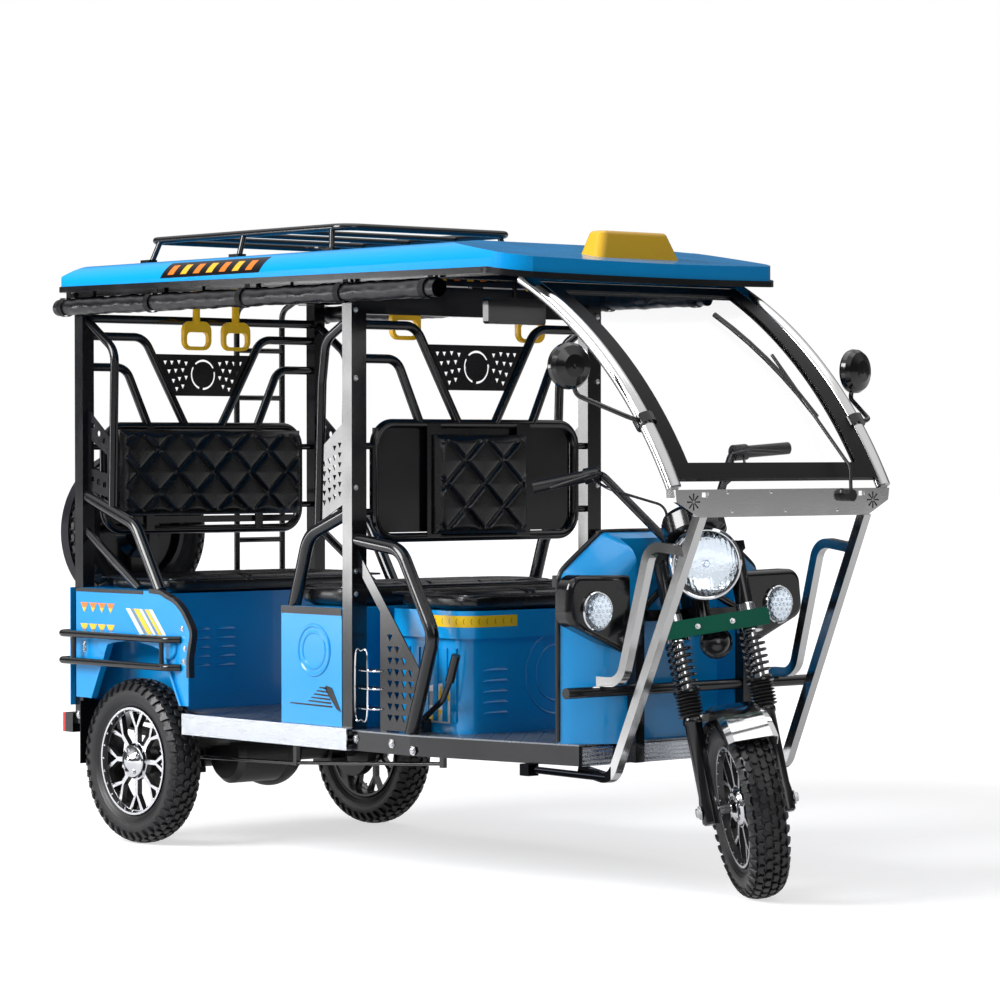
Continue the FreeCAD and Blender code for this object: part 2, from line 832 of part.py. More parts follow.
def sill_trim():
    """A folded sill outside each outer rail."""
    pieces = []
    for side, sign in (("Right", -1), ("Left", 1)):
        near, far = ("-panel_outer", "-body_half") if sign < 0 else ("body_half", "panel_outer")
        inside_far = far if sign < 0 else "panel_outer - sill_wall"
        inside_near = near if sign > 0 else "-panel_outer + sill_wall"
        outer = block(f"Sill{side}", ("sill_start", near, "floor_top + 4 - sill_depth"),
                      ("post_x + rail_width", far, "floor_top + 4"))
        inner = block(f"SillRoom{side}", ("sill_start - 1", inside_near, "floor_top + 4 - sill_depth + sill_wall"),
                      ("post_x + rail_width + 1", inside_far, "floor_top + 4 - sill_wall"))
        pieces.append(cut(f"SillFold{side}", outer, inner))
    return gathered("sill_trim", pieces)


def leaf_spring(across):
    """A leaf spring pack seen from the side, extruded across the vehicle."""
    leaves = []
    base = 2 * d.axle_tube_radius + d.tyre_radius - d.axle_tube_radius + 3
    for n, half in enumerate((d.spring_half * 0.32, d.spring_half * 0.58, d.spring_half * 0.82,
                              d.spring_half)):
        rise = 16 * (half / d.spring_half) ** 2
        low = base + n * d.leaf_thickness
        edges = []
        for z, order in ((low, 1), (low + d.leaf_thickness, -1)):
            arc = Part.Arc(Vector(-half * order, across, z + rise), Vector(0, across, z),
                           Vector(half * order, across, z + rise)).toShape()
            edges.append(arc)
        ends = [Part.makeLine(Vector(half, across, low + rise),
                              Vector(half, across, low + rise + d.leaf_thickness)),
                Part.makeLine(Vector(-half, across, low + rise + d.leaf_thickness),
                              Vector(-half, across, low + rise))]
        ring = Part.Wire([edges[0], ends[0], edges[1], ends[1]])
        leaves.append(Part.Face(ring).extrude(Vector(0, d.spring_width, 0)))
    return leaves


def rear_axle():
    """The driven axle: tube, final drive, motor, brake drums, stub shafts and leaf springs."""
    z = d.tyre_radius
    half = d.track / 2
    shapes = [cylinder(d.axle_tube_radius, Vector(0, -345, z), Vector(0, 345, z))]
    for sign in (-1, 1):
        start = Vector(0, sign * 338, z)
        drum = [(0, 0), (d.drum_radius, 0), (d.drum_radius, d.drum_width - 12),
                (d.drum_radius - 10, d.drum_width - 8), (d.drum_radius - 14, d.drum_width), (0, d.drum_width)]
        shapes.append(ring_profile(drum, start, ACROSS * sign))
        shapes.append(cylinder(18, start, Vector(0, sign * (half + 30), z)))
        low = sign * d.inner_rail - d.spring_width / 2
        shapes += leaf_spring(low)
        for end in (-1, 1):
            x = end * (d.spring_half - 8)
            shapes.append(solid_box((x - 11, low + 4, 302), (x + 11, low + d.spring_width - 4,
                                                             d.floor_top - d.floor_plate - d.rail_depth)))
        for x in (-34, 34):
            shapes.append(solid_box((x - 6, low - 7, z - 36), (x + 6, low - 0.5, z + 66)))
            shapes.append(solid_box((x - 6, low + d.spring_width + 0.5, z - 36),
                                    (x + 6, low + d.spring_width + 7, z + 66)))
            shapes.append(solid_box((x - 6, low - 7, z + 58.5), (x + 6, low + d.spring_width + 7, z + 66)))
        shapes.append(solid_box((-42, low - 7, z - 42), (42, low + d.spring_width + 7, z - 28)))
        shapes.append(solid_box((-42, low - 2, z + 22), (42, low + d.spring_width + 2, z + 34)))
    shapes.append(Part.makeSphere(d.diff_radius, Vector(0, 30, z)).common(
        solid_box((-d.diff_radius, -48, z - d.diff_radius), (d.diff_radius, 108, z + d.diff_radius - 8))))
    motor_at = Vector(118, -40, z + 12)
    motor = [(0, 0), (d.motor_radius - 12, 0), (d.motor_radius, 12), (d.motor_radius, d.motor_length - 30),
             (d.motor_radius - 14, d.motor_length - 12), (0, d.motor_length - 12)]
    shapes.append(ring_profile(motor, motor_at, -ACROSS))
    shapes.append(solid_box((20, -58, z - 60), (150, -30, z + 66)))
    return shaped("rear_axle", joined(shapes))


def side_outline(rear, thick, low):
    """The side box seen from the side: square behind, its front top corner curved."""
    top = d.panel_top - thick
    start = Vector(98, 0, top)
    shoulder = Vector(178, 0, top - 14)
    middle = Vector(254 - thick * 0.7, 0, 672 - thick * 0.7)
    hip = Vector(d.panel_front + 14 - thick * 1.2, 0, 612)
    edge = Vector(d.panel_front - thick, 0, 540)
    foot = Vector(d.panel_front - thick, 0, low)
    ring = [start, shoulder, Part.Arc(shoulder, middle, hip).toShape(), hip, edge, foot,
            Vector(rear, 0, low), Vector(rear, 0, top), start]
    edges = []
    for before, after in zip(ring, ring[1:]):
        if isinstance(after, Part.Edge):
            edges.append(after)
        elif isinstance(before, Vector):
            edges.append(Part.makeLine(before, after))
    return Part.Face(Part.Wire(edges))


def arch_outline(grow):
    """The wheel opening seen from the side, grown outwards, open at the foot."""
    front = Vector(262 + grow, 0, d.panel_bottom - 20)
    front_top = Vector(165 + grow * 0.8, 0, d.arch_height + 2 + grow)
    rear_top = Vector(-96 - grow * 0.8, 0, d.arch_height + 8 + grow)
    rear = Vector(-189 - grow, 0, d.panel_bottom - 20)
    crown = Part.Arc(front_top, Vector(36, 0, d.arch_height + 22 + grow), rear_top).toShape()
    return Part.Face(Part.Wire([Part.makeLine(front, front_top), crown,
                                Part.makeLine(rear_top, rear), Part.makeLine(rear, front)]))


def across_slab(face, low, high):
    """A face in the plane Y = 0 made a solid from one distance across to another."""
    face.translate(Vector(0, low, 0))
    return face.extrude(Vector(0, high - low, 0))


def side_panels():
    """The body side round each rear wheel: outer skin, flared arch, top and front."""
    wall = d.panel_wall
    outer = d.panel_outer
    tuck = d.body_half - 84
    skin = across_slab(side_outline(-d.panel_rear, 0, d.panel_bottom), outer - wall, outer)
    box = across_slab(side_outline(98.5, 0, d.panel_bottom), tuck, outer)
    room = across_slab(side_outline(80.0, wall, d.panel_bottom - 30), tuck + wall, outer - wall)
    lip = across_slab(arch_outline(8.0), outer - wall - 8, outer + 8)
    lip = lip.common(solid_box((-400, 300, d.panel_bottom), (400, 600, 700)))
    hole = across_slab(arch_outline(0.0), tuck + 20, outer + 30)
    foot = solid_box((d.panel_front - wall, tuck, d.floor_top),
                     (d.panel_front, d.body_half, d.panel_bottom + 6))
    shelf = solid_box((40 - d.rear_face, 395.3, d.panel_top - wall), (104, outer - 1, d.panel_top))
    one = joined([skin, box]).cut(room)
    boss = across_slab(pill(-150.0, 232.0, 566.0, 34.0), outer - 1, outer + 9)
    boss = boss.makeFillet(7, [e for e in boss.Edges if e.BoundBox.YMin > outer + 8])
    one = joined([one, lip, foot, shelf, boss]).cut(hole)
    one = max(one.Solids, key=lambda s: s.Volume)
    tail = solid_box((-d.rear_face - d.sheet_wall, wall - outer, d.floor_top),
                     (-d.rear_face, outer - wall, d.panel_top))
    bolts = [Part.makeCylinder(d.plate_bolt_hole, 20, Vector(-d.rear_face - 10, y, d.plate_bolt_z), FORWARD)
             for y in (d.plate_bolt_y - d.plate_bolt_spacing / 2, d.plate_bolt_y + d.plate_bolt_spacing / 2)]
    return shaped("side_panels", apart([one, mirrored(one), tail.cut(apart(bolts))]))


def pill(rear, front, height, half):
    """A long rounded outline in the plane Y = 0, for a pressed rib."""
    a = Vector(rear + half, 0, height - half)
    b = Vector(front - half, 0, height - half)
    c = Vector(front - half, 0, height + half)
    e = Vector(rear + half, 0, height + half)
    return Part.Face(Part.Wire([Part.makeLine(a, b), Part.Arc(b, Vector(front, 0, height), c).toShape(),
                                Part.makeLine(c, e), Part.Arc(e, Vector(rear, 0, height), a).toShape()]))


def rear_seat_base():
    """The plain box under the rear seat, closed by its top and front plates."""
    front = block("SeatFront", ("seat_base_x - sheet_wall", "-(body_half - 84)", "floor_top"),
                  ("seat_base_x", "body_half - 84", "seat_base_top"))
    top = block("SeatTop", ("-rear_face", "-(panel_outer - 71)", "seat_base_top - sheet_wall"),
                ("seat_base_x", "panel_outer - 71", "seat_base_top"))
    sides = [block(f"SeatSide{n}", ("-rear_face", y, "floor_top"),
                   ("seat_base_x", f"{y} + sheet_wall", "seat_base_top - sheet_wall"))
             for n, y in ((1, "body_half - 87"), (2, "-(body_half - 84)"))]
    return fused("rear_seat_base", [front, top] + sides)


def cushion(label, low, high, radius):
    """A seat cushion: a block with soft edges."""
    base = block(label + "Block", low, high)
    doc.recompute()
    return rounded(label, base, radius, lambda edge: True)


def cushions():
    """The three seat cushions."""
    cushion("rear_cushion", ("-266", "-rear_cushion_half", "seat_base_top"),
            ("seat_base_x + cushion_overhang", "rear_cushion_half", "cushion_top"), 16)
    cushion("bench_cushion", ("bench_x - 12", "-bench_cushion_half", "bench_top"),
            ("912", "bench_cushion_half", "cushion_top"), 16)
    cushion("driver_cushion", ("driver_box_x + 2", "-driver_box_half + 6", "driver_box_top"),
            ("driver_box_front + 6", "driver_box_half - 6", "driver_box_top + 52"), 14)
    return ["rear_cushion", "bench_cushion", "driver_cushion"]


def back_pads():
    """The three backrest pads on the tube frames."""
    cushion("rear_back_pad", ("-post_x + 682.5", "-pad_half", "pad_bottom"),
            ("-post_x + 682.5 + pad_depth", "pad_half", "pad_top"), 14)
    cushion("bench_back_pad", ("962.5 - pad_depth", "-pad_half", "pad_bottom"),
            ("962.5", "pad_half", "pad_top"), 14)
    cushion("driver_back_pad", ("987.5", "-driver_pad_half", "driver_pad_bottom"),
            ("987.5 + pad_depth / 2", "driver_pad_half", "driver_pad_top"), 10)
    return ["rear_back_pad", "bench_back_pad", "driver_back_pad"]


def bench_box():
    """The box under the rear-facing bench, with a turned-out rim round its top."""
    wall = "sheet_wall"
    outer = block("BenchOuter", ("bench_x", "-bench_half", "floor_top"),
                  ("bench_front", "bench_half", "bench_top"))
    inner = block("BenchInner", (f"bench_x + {wall}", f"-bench_half + {wall}", "floor_top"),
                  (f"bench_front - {wall}", f"bench_half - {wall}", f"bench_top - {wall}"))
    return cut("bench_box", outer, inner)


def bench_sides():
    """The raised panel on each end of the bench box, with a round boss pressed in it."""
    pieces = []
    for side, sign in (("Right", -1), ("Left", 1)):
        y = ("-body_half", "-bench_half") if sign < 0 else ("bench_half", "body_half")
        plate = block(f"BenchSide{side}", ("bench_x", y[0], "floor_top + 5"),
                      ("bench_front", y[1], "bench_top - 15"))
        at = -d.body_half if sign < 0 else d.body_half
        centre = Vector((d.bench_x + d.bench_front) / 2 + 12, at, d.boss_height)
        boss = [(0, -1), (72, -1), (72, 1), (69, 4), (65, 4), (61, 1), (53, 1), (50, 3.5), (47, 3.5), (44, 1),
                (0, 1)]
        ring = shaped(f"BenchBoss{side}", ring_profile(boss, centre, ACROSS * sign))
        pieces.append(fused(f"BenchPanel{side}", [plate, ring]))
    return gathered("bench_sides", pieces)


def battery_pack():
    """The battery under the bench as one plain block."""
    return block("battery_pack", ("bench_x + 16", "-inner_rail - 20", "floor_top"),
                 ("bench_front - 16", "inner_rail + 20", "floor_top + battery_height"))


def rounded_ring(x_low, x_high, half, corner):
    """The corners of a rectangle with rounded corners, as formulas for a sketch."""
    return [(f"{x_low} + {corner}", f"-{half}"), (f"{x_high} - {corner}", f"-{half}"),
            (x_high, f"-{half} + {corner}", corner), (x_high, f"{half} - {corner}"),
            (f"{x_high} - {corner}", half, corner), (f"{x_low} + {corner}", half),
            (x_low, f"{half} - {corner}", corner), (x_low, f"-{half} + {corner}"),
            (f"{x_low} + {corner}", f"-{half}", corner)][1:]


def driver_seat_box():
    """The driver's seat box: a round-cornered shell with a wider band and flutes below."""
    body = new_body("driver_seat_box")
    step = "band_step"
    padded(body, rounded_ring(f"(driver_box_x + {step})", f"(driver_box_front - {step})",
                              f"(driver_box_half - {step})", "48"),
           "driver_box_top - floor_top", offset="floor_top")
    doc.recompute()
    padded(body, rounded_ring("driver_box_x", "driver_box_front", "driver_box_half", "60"),
           "band_height", offset="driver_box_top - band_height")
    doc.recompute()
    flute = sketch_on(body, "XZ_Plane", "driver_box_half - band_step - 1")
    outline(flute, rectangle("driver_box_x + 75", "floor_top + 30", "driver_box_x + 93",
                             "driver_box_top - band_height - 26"))
    rib = body.newObject("PartDesign::Pad", "SideFlute")
    rib.Profile = flute
    rib.setExpression("Length", bound("flute"))
    doc.recompute()
    row = body.newObject("PartDesign::LinearPattern", "SideFlutes")
    row.Originals = [rib]
    row.Direction = (plane_of(body, "X_Axis"), [""])
    row.Length = 5 * d.flute_pitch
    row.Occurrences = 6
    body.Tip = row
    doc.recompute()
    hollow = outline(sketch_on(body, "XY_Plane", "floor_top"),
                     rounded_ring(f"(driver_box_x + {step} + sheet_wall)",
                                  f"(driver_box_front - {step} - sheet_wall)",
                                  f"(driver_box_half - {step} - sheet_wall)", "45"))
    room = body.newObject("PartDesign::Pocket", "SeatBoxRoom")
    room.Profile = hollow
    room.Reversed = True
    room.setExpression("Length", bound("driver_box_top - floor_top - sheet_wall"))
    doc.recompute()
    body.Tip = room
    return body


def flat_bar(points, width, y_low, y_high):
    """A flat steel bar through points in the side view."""
    run = (points[-1] - points[0]).normalize()
    side = Vector(-run.z, 0, run.x) * (width / 2)
    ring = [points[0] + side, points[-1] + side, points[-1] - side, points[0] - side]
    ring = [Vector(p.x, y_low, p.z) for p in ring]
    return slab(ring, Vector(0, y_high - y_low, 0))


def spot(x, z, y=426.0):
    """A point in the plane of the side frame."""
    return Vector(x, y, z)


def holes(places, radius, y=426.0):
    """Round holes through a side plate."""
    return [Part.makeCylinder(radius, 20, Vector(x, y - 10, z), ACROSS) for x, z in places]


def side_frames():
    """Each side's posts, arm rests, braces and cut-out plates."""
    r = d.arm_tube / 2
    thin = d.frame_tube / 2
    y = d.body_half - d.rail_width / 2
    deck = d.floor_top - d.floor_plate
    shapes = [solid_box((-d.rear_face, y - 20, deck), (-d.rear_face + 40, y + 20, d.post_top)),
              solid_box((d.post_x, d.body_half - d.post_width, deck),
                        (d.post_x + d.post_depth, d.body_half, d.post_top)),
              round_tube([spot(-270, 1500), spot(-126, 1407), spot(-138, 950)], 60, thin),
              round_tube([spot(-280, 992), spot(-24, 906), spot(96, d.panel_top)], 80, r),
              cylinder(thin, spot(-280, 893), spot(-4, d.panel_top + 2)),
              round_tube([spot(960, 1469), spot(855, 1413), spot(838, 1300), spot(823, 915)], 60, thin),
              round_tube([spot(965, 960), spot(780, 891), spot(716, d.bench_top)], 80, r),
              round_tube([spot(965, 884), spot(1170, 859), spot(1304, 640), spot(1212, d.floor_top)],
                         70, r)]
    shapes.append(flat_bar([spot(968, 858), spot(1252, 520)], 30, y - 2, y + 2))
    shapes.append(flat_bar([spot(1100, 700), spot(1100, d.floor_top)], 28, y - 2, y + 2))
    rear_plate = slab([spot(-262, 1240, 424), spot(-140, 1149, 424), spot(-140, 980, 424),
                       spot(-262, 1004, 424)], Vector(0, 4, 0))
    mid_plate = slab([spot(829, 1120, 424), spot(952, 1207, 424), spot(952, 985, 424),
                      spot(825, 925, 424)], Vector(0, 4, 0))
    gusset = slab([spot(1100, 705, 424), spot(1276, 600, 424), spot(1208, 385, 424),
                   spot(1100, 385, 424)], Vector(0, 4, 0))
    rear_plate = rear_plate.cut(apart(holes([(-236, 1190), (-206, 1168), (-176, 1146), (-236, 1036),
                                             (-206, 1028), (-176, 1020)], 9)
                                      + [slab([spot(-244, 1150, 414), spot(-162, 1106, 414),
                                               spot(-162, 1052, 414), spot(-244, 1066, 414)],
                                              Vector(0, 20, 0))]))
    grid = [(850 + 22 * c, 985 + 26 * k + 8 * c) for k in range(6) for c in range(4)
            if 985 + 26 * k + 8 * c < 1100 + 16 * c]
    mid_plate = mid_plate.cut(apart([triangle_hole(spot(x, z, 416), Vector(8, 0, 0), Vector(0, 0, 15),
                                                   Vector(0, 20, 0)) for x, z in grid]))
    grid = [(1126 + 29 * c, 426 + 30 * k) for k in range(9) for c in range(5)
            if 1126 + 29 * c < 1196 + 9 * k and 426 + 30 * k < 690 - 24 * c]
    gusset = gusset.cut(apart([triangle_hole(spot(x, z, 416), Vector(11, 0, 0), Vector(0, 0, 19),
                                             Vector(0, 20, 0)) for x, z in grid]))
    plates = [rear_plate, mid_plate, gusset]
    one = joined(shapes)
    one = one.cut(apart([solid_box((-1000, 0, 0), (300, 600, d.panel_top)).cut(
        solid_box((-d.rear_face - 1, 0, 0), (-d.rear_face + 40, 600, d.panel_top))),
        solid_box((d.bench_x - 20, 0, 0), (d.bench_front, 600, d.bench_top)),
        solid_box((d.post_x + 60, 0, 0), (1500, 600, d.floor_top))]))
    solids = sorted(one.Solids, key=lambda s: -s.Volume)
    one = solids[0] if len(solids) == 1 else apart([s for s in solids if s.Volume > 20000])
    plates = [plate.cut(one) for plate in plates]
    plates = [max(plate.Solids, key=lambda s: s.Volume) for plate in plates]
    shaped("side_frames", both_sides(one))
    shaped("side_plates", both_sides(apart(plates)))
    return ["side_frames", "side_plates"]


def triangle_hole(corner, across, up, through):
    """A small triangular hole with its point down, cut through a plate."""
    return slab([corner - across, corner + across, corner - up], through)


def crest_cuts(x):
    """The triangles and the broken ring cut through a crest plate at one place."""
    middle = Vector(x - 10, 0, (d.crest_top + d.crest_bottom) / 2 + 2)
    across = Vector(0, 7, 0)
    places = [(62, 38), (88, 42), (114, 40), (138, 40), (74, 18), (100, 16), (124, 14), (62, -4),
              (86, -8), (108, -14), (74, -30), (96, -38)]
    cuts = [triangle_hole(middle + Vector(0, s * y, z), across, Vector(0, 0, 14), Vector(20, 0, 0))
            for y, z in places for s in (-1, 1)]
    ring = Part.makeCylinder(45, 20, middle, FORWARD).cut(Part.makeCylinder(39, 20, middle, FORWARD))
    for turn in (20, 140, 260):
        bridge = Part.makeBox(20, 60, 12, Vector(x - 10, 0, middle.z - 6))
        bridge.rotate(middle, FORWARD, turn)
        ring = ring.cut(bridge)
    return cuts + ring.Solids


def crest_plates():
    """The pierced plate between the slanting tubes of each backrest frame."""
    plates = []
    for x in (-280.0, 975.0):
        plate = slab([Vector(x - 1.5, -d.crest_top_half - 16, d.crest_top),
                      Vector(x - 1.5, d.crest_top_half + 16, d.crest_top),
                      Vector(x - 1.5, d.crest_bottom_half + 14, d.crest_bottom),
                      Vector(x - 1.5, -d.crest_bottom_half - 14, d.crest_bottom)],
                     Vector(d.crest_plate, 0, 0))
        plate = plate.cut(apart(crest_cuts(x))).cut(shape_of("back_frames"))
        plates.append(max(plate.Solids, key=lambda s: s.Volume))
    return shaped("crest_plates", apart(plates))


def back_frame(x, wall_at, top_bar):
    """A closed tube loop with bent tubes that rise to the posts, across the vehicle."""
    r = d.frame_tube / 2
    half = d.back_frame_half
    low = d.back_frame_bottom
    high = d.back_frame_top
    loop = round_tube([Vector(x, 0, low), Vector(x, half, low), Vector(x, half, high),
                       Vector(x, -half, high), Vector(x, -half, low), Vector(x, 0, low)], 60, r)
    shapes = [loop]
    for sign in (-1, 1):
        end = sign * (wall_at + 0.0)
        shapes.append(round_tube([Vector(x, end, d.bar_second), Vector(x, sign * 215, d.bar_second),
                                  Vector(x, sign * 65, high)], 60, r))
        shapes.append(round_tube([Vector(x, end, d.bar_third), Vector(x, sign * 280, d.bar_third),
                                  Vector(x, sign * 200, high)], 50, r))
        for z in (low + 70, high - 60):
            shapes.append(cylinder(9, Vector(x, sign * half, z), Vector(x, end, z)))
    if top_bar:
        shapes.append(cylinder(r, Vector(x, -wall_at, d.bar_top), Vector(x, wall_at, d.bar_top)))
        shapes.append(solid_box((x - 3, -half, 905), (x + 3, half, 925)))
        for y in (-200, 200):
            shapes.append(solid_box((x + 8, y - 14, low), (x + r, y + 14, high)))
    return joined(shapes)


def back_frames():
    """The rear and middle backrest frames between the posts."""
    rear = back_frame(-280.0, 406.0, True)
    middle = back_frame(975.0, 396.0, False)
    bars = [solid_box((984, s * 160 - 24, d.back_frame_bottom), (987.5, s * 160 + 24, d.back_frame_top))
            for s in (-1, 1)]
    middle = joined([middle] + bars)
    pad = solid_box((0, -d.pad_half, d.pad_bottom), (962.5, d.pad_half, d.pad_top))
    shaped("back_frames", apart([rear, middle.cut(pad)]))
    sheet_metal = solid_box((962.5, -d.pad_half, d.pad_bottom), (965.5, d.pad_half, d.pad_top))
    web = solid_box((964, -345, 899), (970, 345, 1176)).common(
        solid_box((968, -345, 899), (970, 345, 1176)))
    panel = joined([web, sheet_metal, solid_box((965.5, -300, 940), (968, 300, 1160))])
    shaped("partition_panel", panel.cut(middle))
    return ["back_frames", "partition_panel"]


def guard_rails():
    """Two round rails round each rear corner, on stubs from the side panel."""
    r = d.rail_tube / 2
    shapes = []
    for z in (d.rail_high, d.rail_low):
        back = -d.rear_face - d.sheet_wall - r
        points = [Vector(248, d.panel_outer, z), Vector(214, d.rail_out, z),
                  Vector(back, d.rail_out, z), Vector(back, 335, z)]
        shapes.append(round_tube(points, 28, r))
        places = (-240, 180) if z > 550 else (-240, 236)
        for x in places[:1]:
            shapes.append(cylinder(6, Vector(x, d.panel_outer, z), Vector(x, d.rail_out, z)))
    ties = [cylinder(7, Vector(x, d.rail_out, d.rail_low), Vector(x, d.rail_out, d.rail_high))
            for x in (-235, 196)]
    one = joined(shapes + ties)
    one = one.cut(solid_box((-1000, 300, 0), (1000, d.panel_outer, 2000)).cut(
        solid_box((-1000, 300, 0), (-d.rear_face - d.sheet_wall, 500, 2000))))
    return shaped("guard_rails", both_sides(one))


def mud_flaps():
    """A hanging flap behind each rear tyre."""
    pieces = []
    for n, y in ((1, "flap_inner"), (2, "-flap_outer")):
        pieces.append(block(f"Flap{n}", ("-rear_face + 40", y, "flap_low"),
                            ("-rear_face + 44", f"{y} + flap_outer - flap_inner", "floor_top + 14")))
    return gathered("mud_flaps", pieces)


def tail_lamps():
    """A lamp block on a bracket at each rear corner."""
    blocks = [solid_box((-d.rear_face - 50, s * 430 - 26, 300), (-d.rear_face, s * 430 + 26, 356))
              for s in (-1, 1)]
    return shaped("tail_lamps", apart(blocks))


def soft_ring(x, corners, radii):
    """A closed wire across the vehicle: straight runs with arcs of given radii between."""
    points = [Vector(x, y, z) for y, z in corners]
    turns = []
    for k, corner in enumerate(points):
        before = (points[k - 1] - corner).normalize()
        after = (points[(k + 1) % len(points)] - corner).normalize()
        half = before.getAngle(after) / 2
        reach = radii[k] / math.tan(half)
        inward = (before + after).normalize() * (radii[k] / math.sin(half) - radii[k])
        turns.append((corner + before * reach, corner + inward, corner + after * reach))
    edges = []
    for k, (start, middle, end) in enumerate(turns):
        if radii[k]:
            edges.append(Part.Arc(start, middle, end).toShape())
        edges.append(Part.makeLine(end, turns[(k + 1) % len(turns)][0]))
    return Part.Wire(edges)


def shield_prism(grow):
    """The leg shield's form, a raised front face that curves back to wide rear edges."""
    rear = [(-350 - grow, d.shield_foot - 12), (350 + grow, d.shield_foot - 12),
            (350 + grow, d.shield_shoulder + grow), (205 + grow, d.shield_peak + grow),
            (-205 - grow, d.shield_peak + grow), (-350 - grow, d.shield_shoulder + grow)]
    face = [(-215 - grow, d.shield_foot - 12), (215 + grow, d.shield_foot - 12),
            (215 + grow, d.shield_shoulder - 16 + grow), (150 + grow, d.shield_nose + grow),
            (-150 - grow, d.shield_nose + grow), (-215 - grow, d.shield_shoulder - 16 + grow)]
    depth = d.shield_face + grow - d.shield_x
    wires = []
    for along, rise in ((0, 0), (0.22, 0.36), (0.55, 0.74), (0.82, 0.94), (1, 1)):
        ring = [(y0 + (y1 - y0) * along, z0 + (z1 - z0) * rise)
                for (y0, z0), (y1, z1) in zip(rear, face)]
        soft = 34 - 8 * along
        wires.append(soft_ring(d.shield_x + depth * rise, ring, (0, 0, soft, soft, soft, soft)))
    return Part.makeLoft(wires, True, False)


def leg_shield():
    """The steel front of the driver's space, with a recess for the steering head."""
    wall = d.shield_wall
    outer = shield_prism(0.0)
    inner = shield_prism(-wall)
    inner.translate(Vector(-0.5, 0, 0))
    shell = outer.cut(inner)
    shell = shell.cut(solid_box((0, -500, 0), (3000, 500, d.shield_foot)))
    recess = solid_box((1735, -172, 0), (1900, 172, 1200))
    walls = solid_box((1731, -176, d.shield_foot), (d.shield_face, 176, 1200)).cut(
        solid_box((1735, -172, 0), (1900, 172, 1300))).common(outer)
    shell = joined([shell, walls]).cut(recess)
    return shaped("leg_shield", shell)


def dash_panel():
    """The panel that closes the shield's upper back, facing the driver."""
    ring = [Vector(d.shield_x, y, z) for y, z in
            ((-338, 640), (338, 640), (338, 800), (203, 908), (-203, 908), (-338, 800))]
    plate = slab(ring, Vector(-6, 0, 0))
    shelf = solid_box((d.shield_x - 90, -290, 770), (d.shield_x - 6, 290, 776))
    lip = solid_box((d.shield_x - 90, -290, 770), (d.shield_x - 86, 290, 800))
    ends = [solid_box((d.shield_x - 90, s * 288 - 2, 770), (d.shield_x - 6, s * 288 + 2, 800))
            for s in (-1, 1)]
    return shaped("dash_panel", joined([plate, shelf, lip] + ends))


def lamp_pods():
    """The wing either side of the shield that carries the front side lamps."""
    ring = [Vector(1762, y, z) for y, z in ((206, 804), (404, 808), (418, 690), (206, 601))]
    pod = slab(ring, Vector(48, 0, 0))
    pod = pod.makeFillet(40, [e for e in pod.Edges if runs_along(FORWARD)(e) and e.BoundBox.YMin > 300])
    pod = pod.makeFillet(14, [e for e in pod.Edges if e.BoundBox.XMin > 1809 and e.BoundBox.YMax > 207])
    keep = shield_prism(0.0)
    pod = pod.cut(keep)
    pod = max(pod.Solids, key=lambda s: s.Volume)
    return shaped("lamp_pods", both_sides(pod))


def side_lamps():
    """The round lens on each wing."""
    lens = [(0, 0), (47, 0), (47, 6), (43, 12), (26, 18), (0, 20)]
    pieces = [ring_profile(lens, Vector(1810, s * 320, 716), FORWARD) for s in (-1, 1)]
    return shaped("side_lamps", apart(pieces))


def front_frame():
    """The uprights, cross-bars and head bracket that carry the steering, and the bumper bar."""
    z = d.floor_top - d.floor_plate
    half = d.upright_tube / 2
    shapes = []
    for sign in (-1, 1):
        y = sign * d.upright_half
        shapes.append(solid_box((d.nose_x, y - half, z - 44), (1830, y + half, z - 8)))
        shapes.append(solid_box((1800, y - half, z - 44), (1830, y + half, 716)))
        start = Vector(1768, sign * 12, 800)
        shapes.append(cylinder(9, start, Vector(1814, sign * 180, 706)))
    shapes.append(solid_box((1790, -168, 686), (1820, 168, 714)))
    shapes.append(solid_box((1799, -d.upright_half, 686), (1820, d.upright_half, 714)))
    shapes.append(cylinder(14, Vector(1813, -d.bumper_half, d.bumper_z),
                           Vector(1813, d.bumper_half, d.bumper_z)))
    tube = ring_profile([(d.steerer_radius + d.head_tube_clearance, 703),
                         (d.head_tube_radius, 703), (d.head_tube_radius, 859),
                         (d.steerer_radius + d.head_tube_clearance, 859)], Vector(), UP)
    web = slab([Vector(-20, -9, 715), Vector(-20, -9, 852), Vector(-58, -9, 850), Vector(-58, -9, 735)],
               Vector(0, 18, 0))
    steer_straight = Placement(Vector(d.head_x, 0, 0), Rotation(ACROSS, -d.rake))
    bore = Part.makeCylinder(d.steerer_radius + d.head_tube_clearance, 400, Vector(0, 0, 600))
    for piece in (tube, web, bore):
        piece.Placement = steer_straight.multiply(piece.Placement)
    shapes += [tube, web]
    return shaped("front_frame", joined(shapes).cut(bore))


def arc_centre():
    """The centre and radius of the windscreen's bow, in the side view."""
    top = Vector(d.screen_top_x, 0, d.screen_top_z)
    foot = Vector(d.screen_foot_x, 0, d.screen_foot_z)
    chord = foot - top
    normal = Vector(-chord.z, 0, chord.x).normalize()
    radius = (chord.Length / 2) ** 2 / 2 / d.screen_bow + d.screen_bow / 2
    return (top + foot) / 2 + normal * (d.screen_bow - radius), radius, normal


def on_screen(share, lift, y):
    """A point on the windscreen's bow, a share of the way down it and lifted off it."""
    centre, radius, normal = arc_centre()
    top = Vector(d.screen_top_x, 0, d.screen_top_z) - centre
    foot = Vector(d.screen_foot_x, 0, d.screen_foot_z) - centre
    angle = math.atan2(top.z, top.x) * (1 - share) + math.atan2(foot.z, foot.x) * share
    reach = radius + lift
    return Vector(centre.x + reach * math.cos(angle), y, centre.z + reach * math.sin(angle))


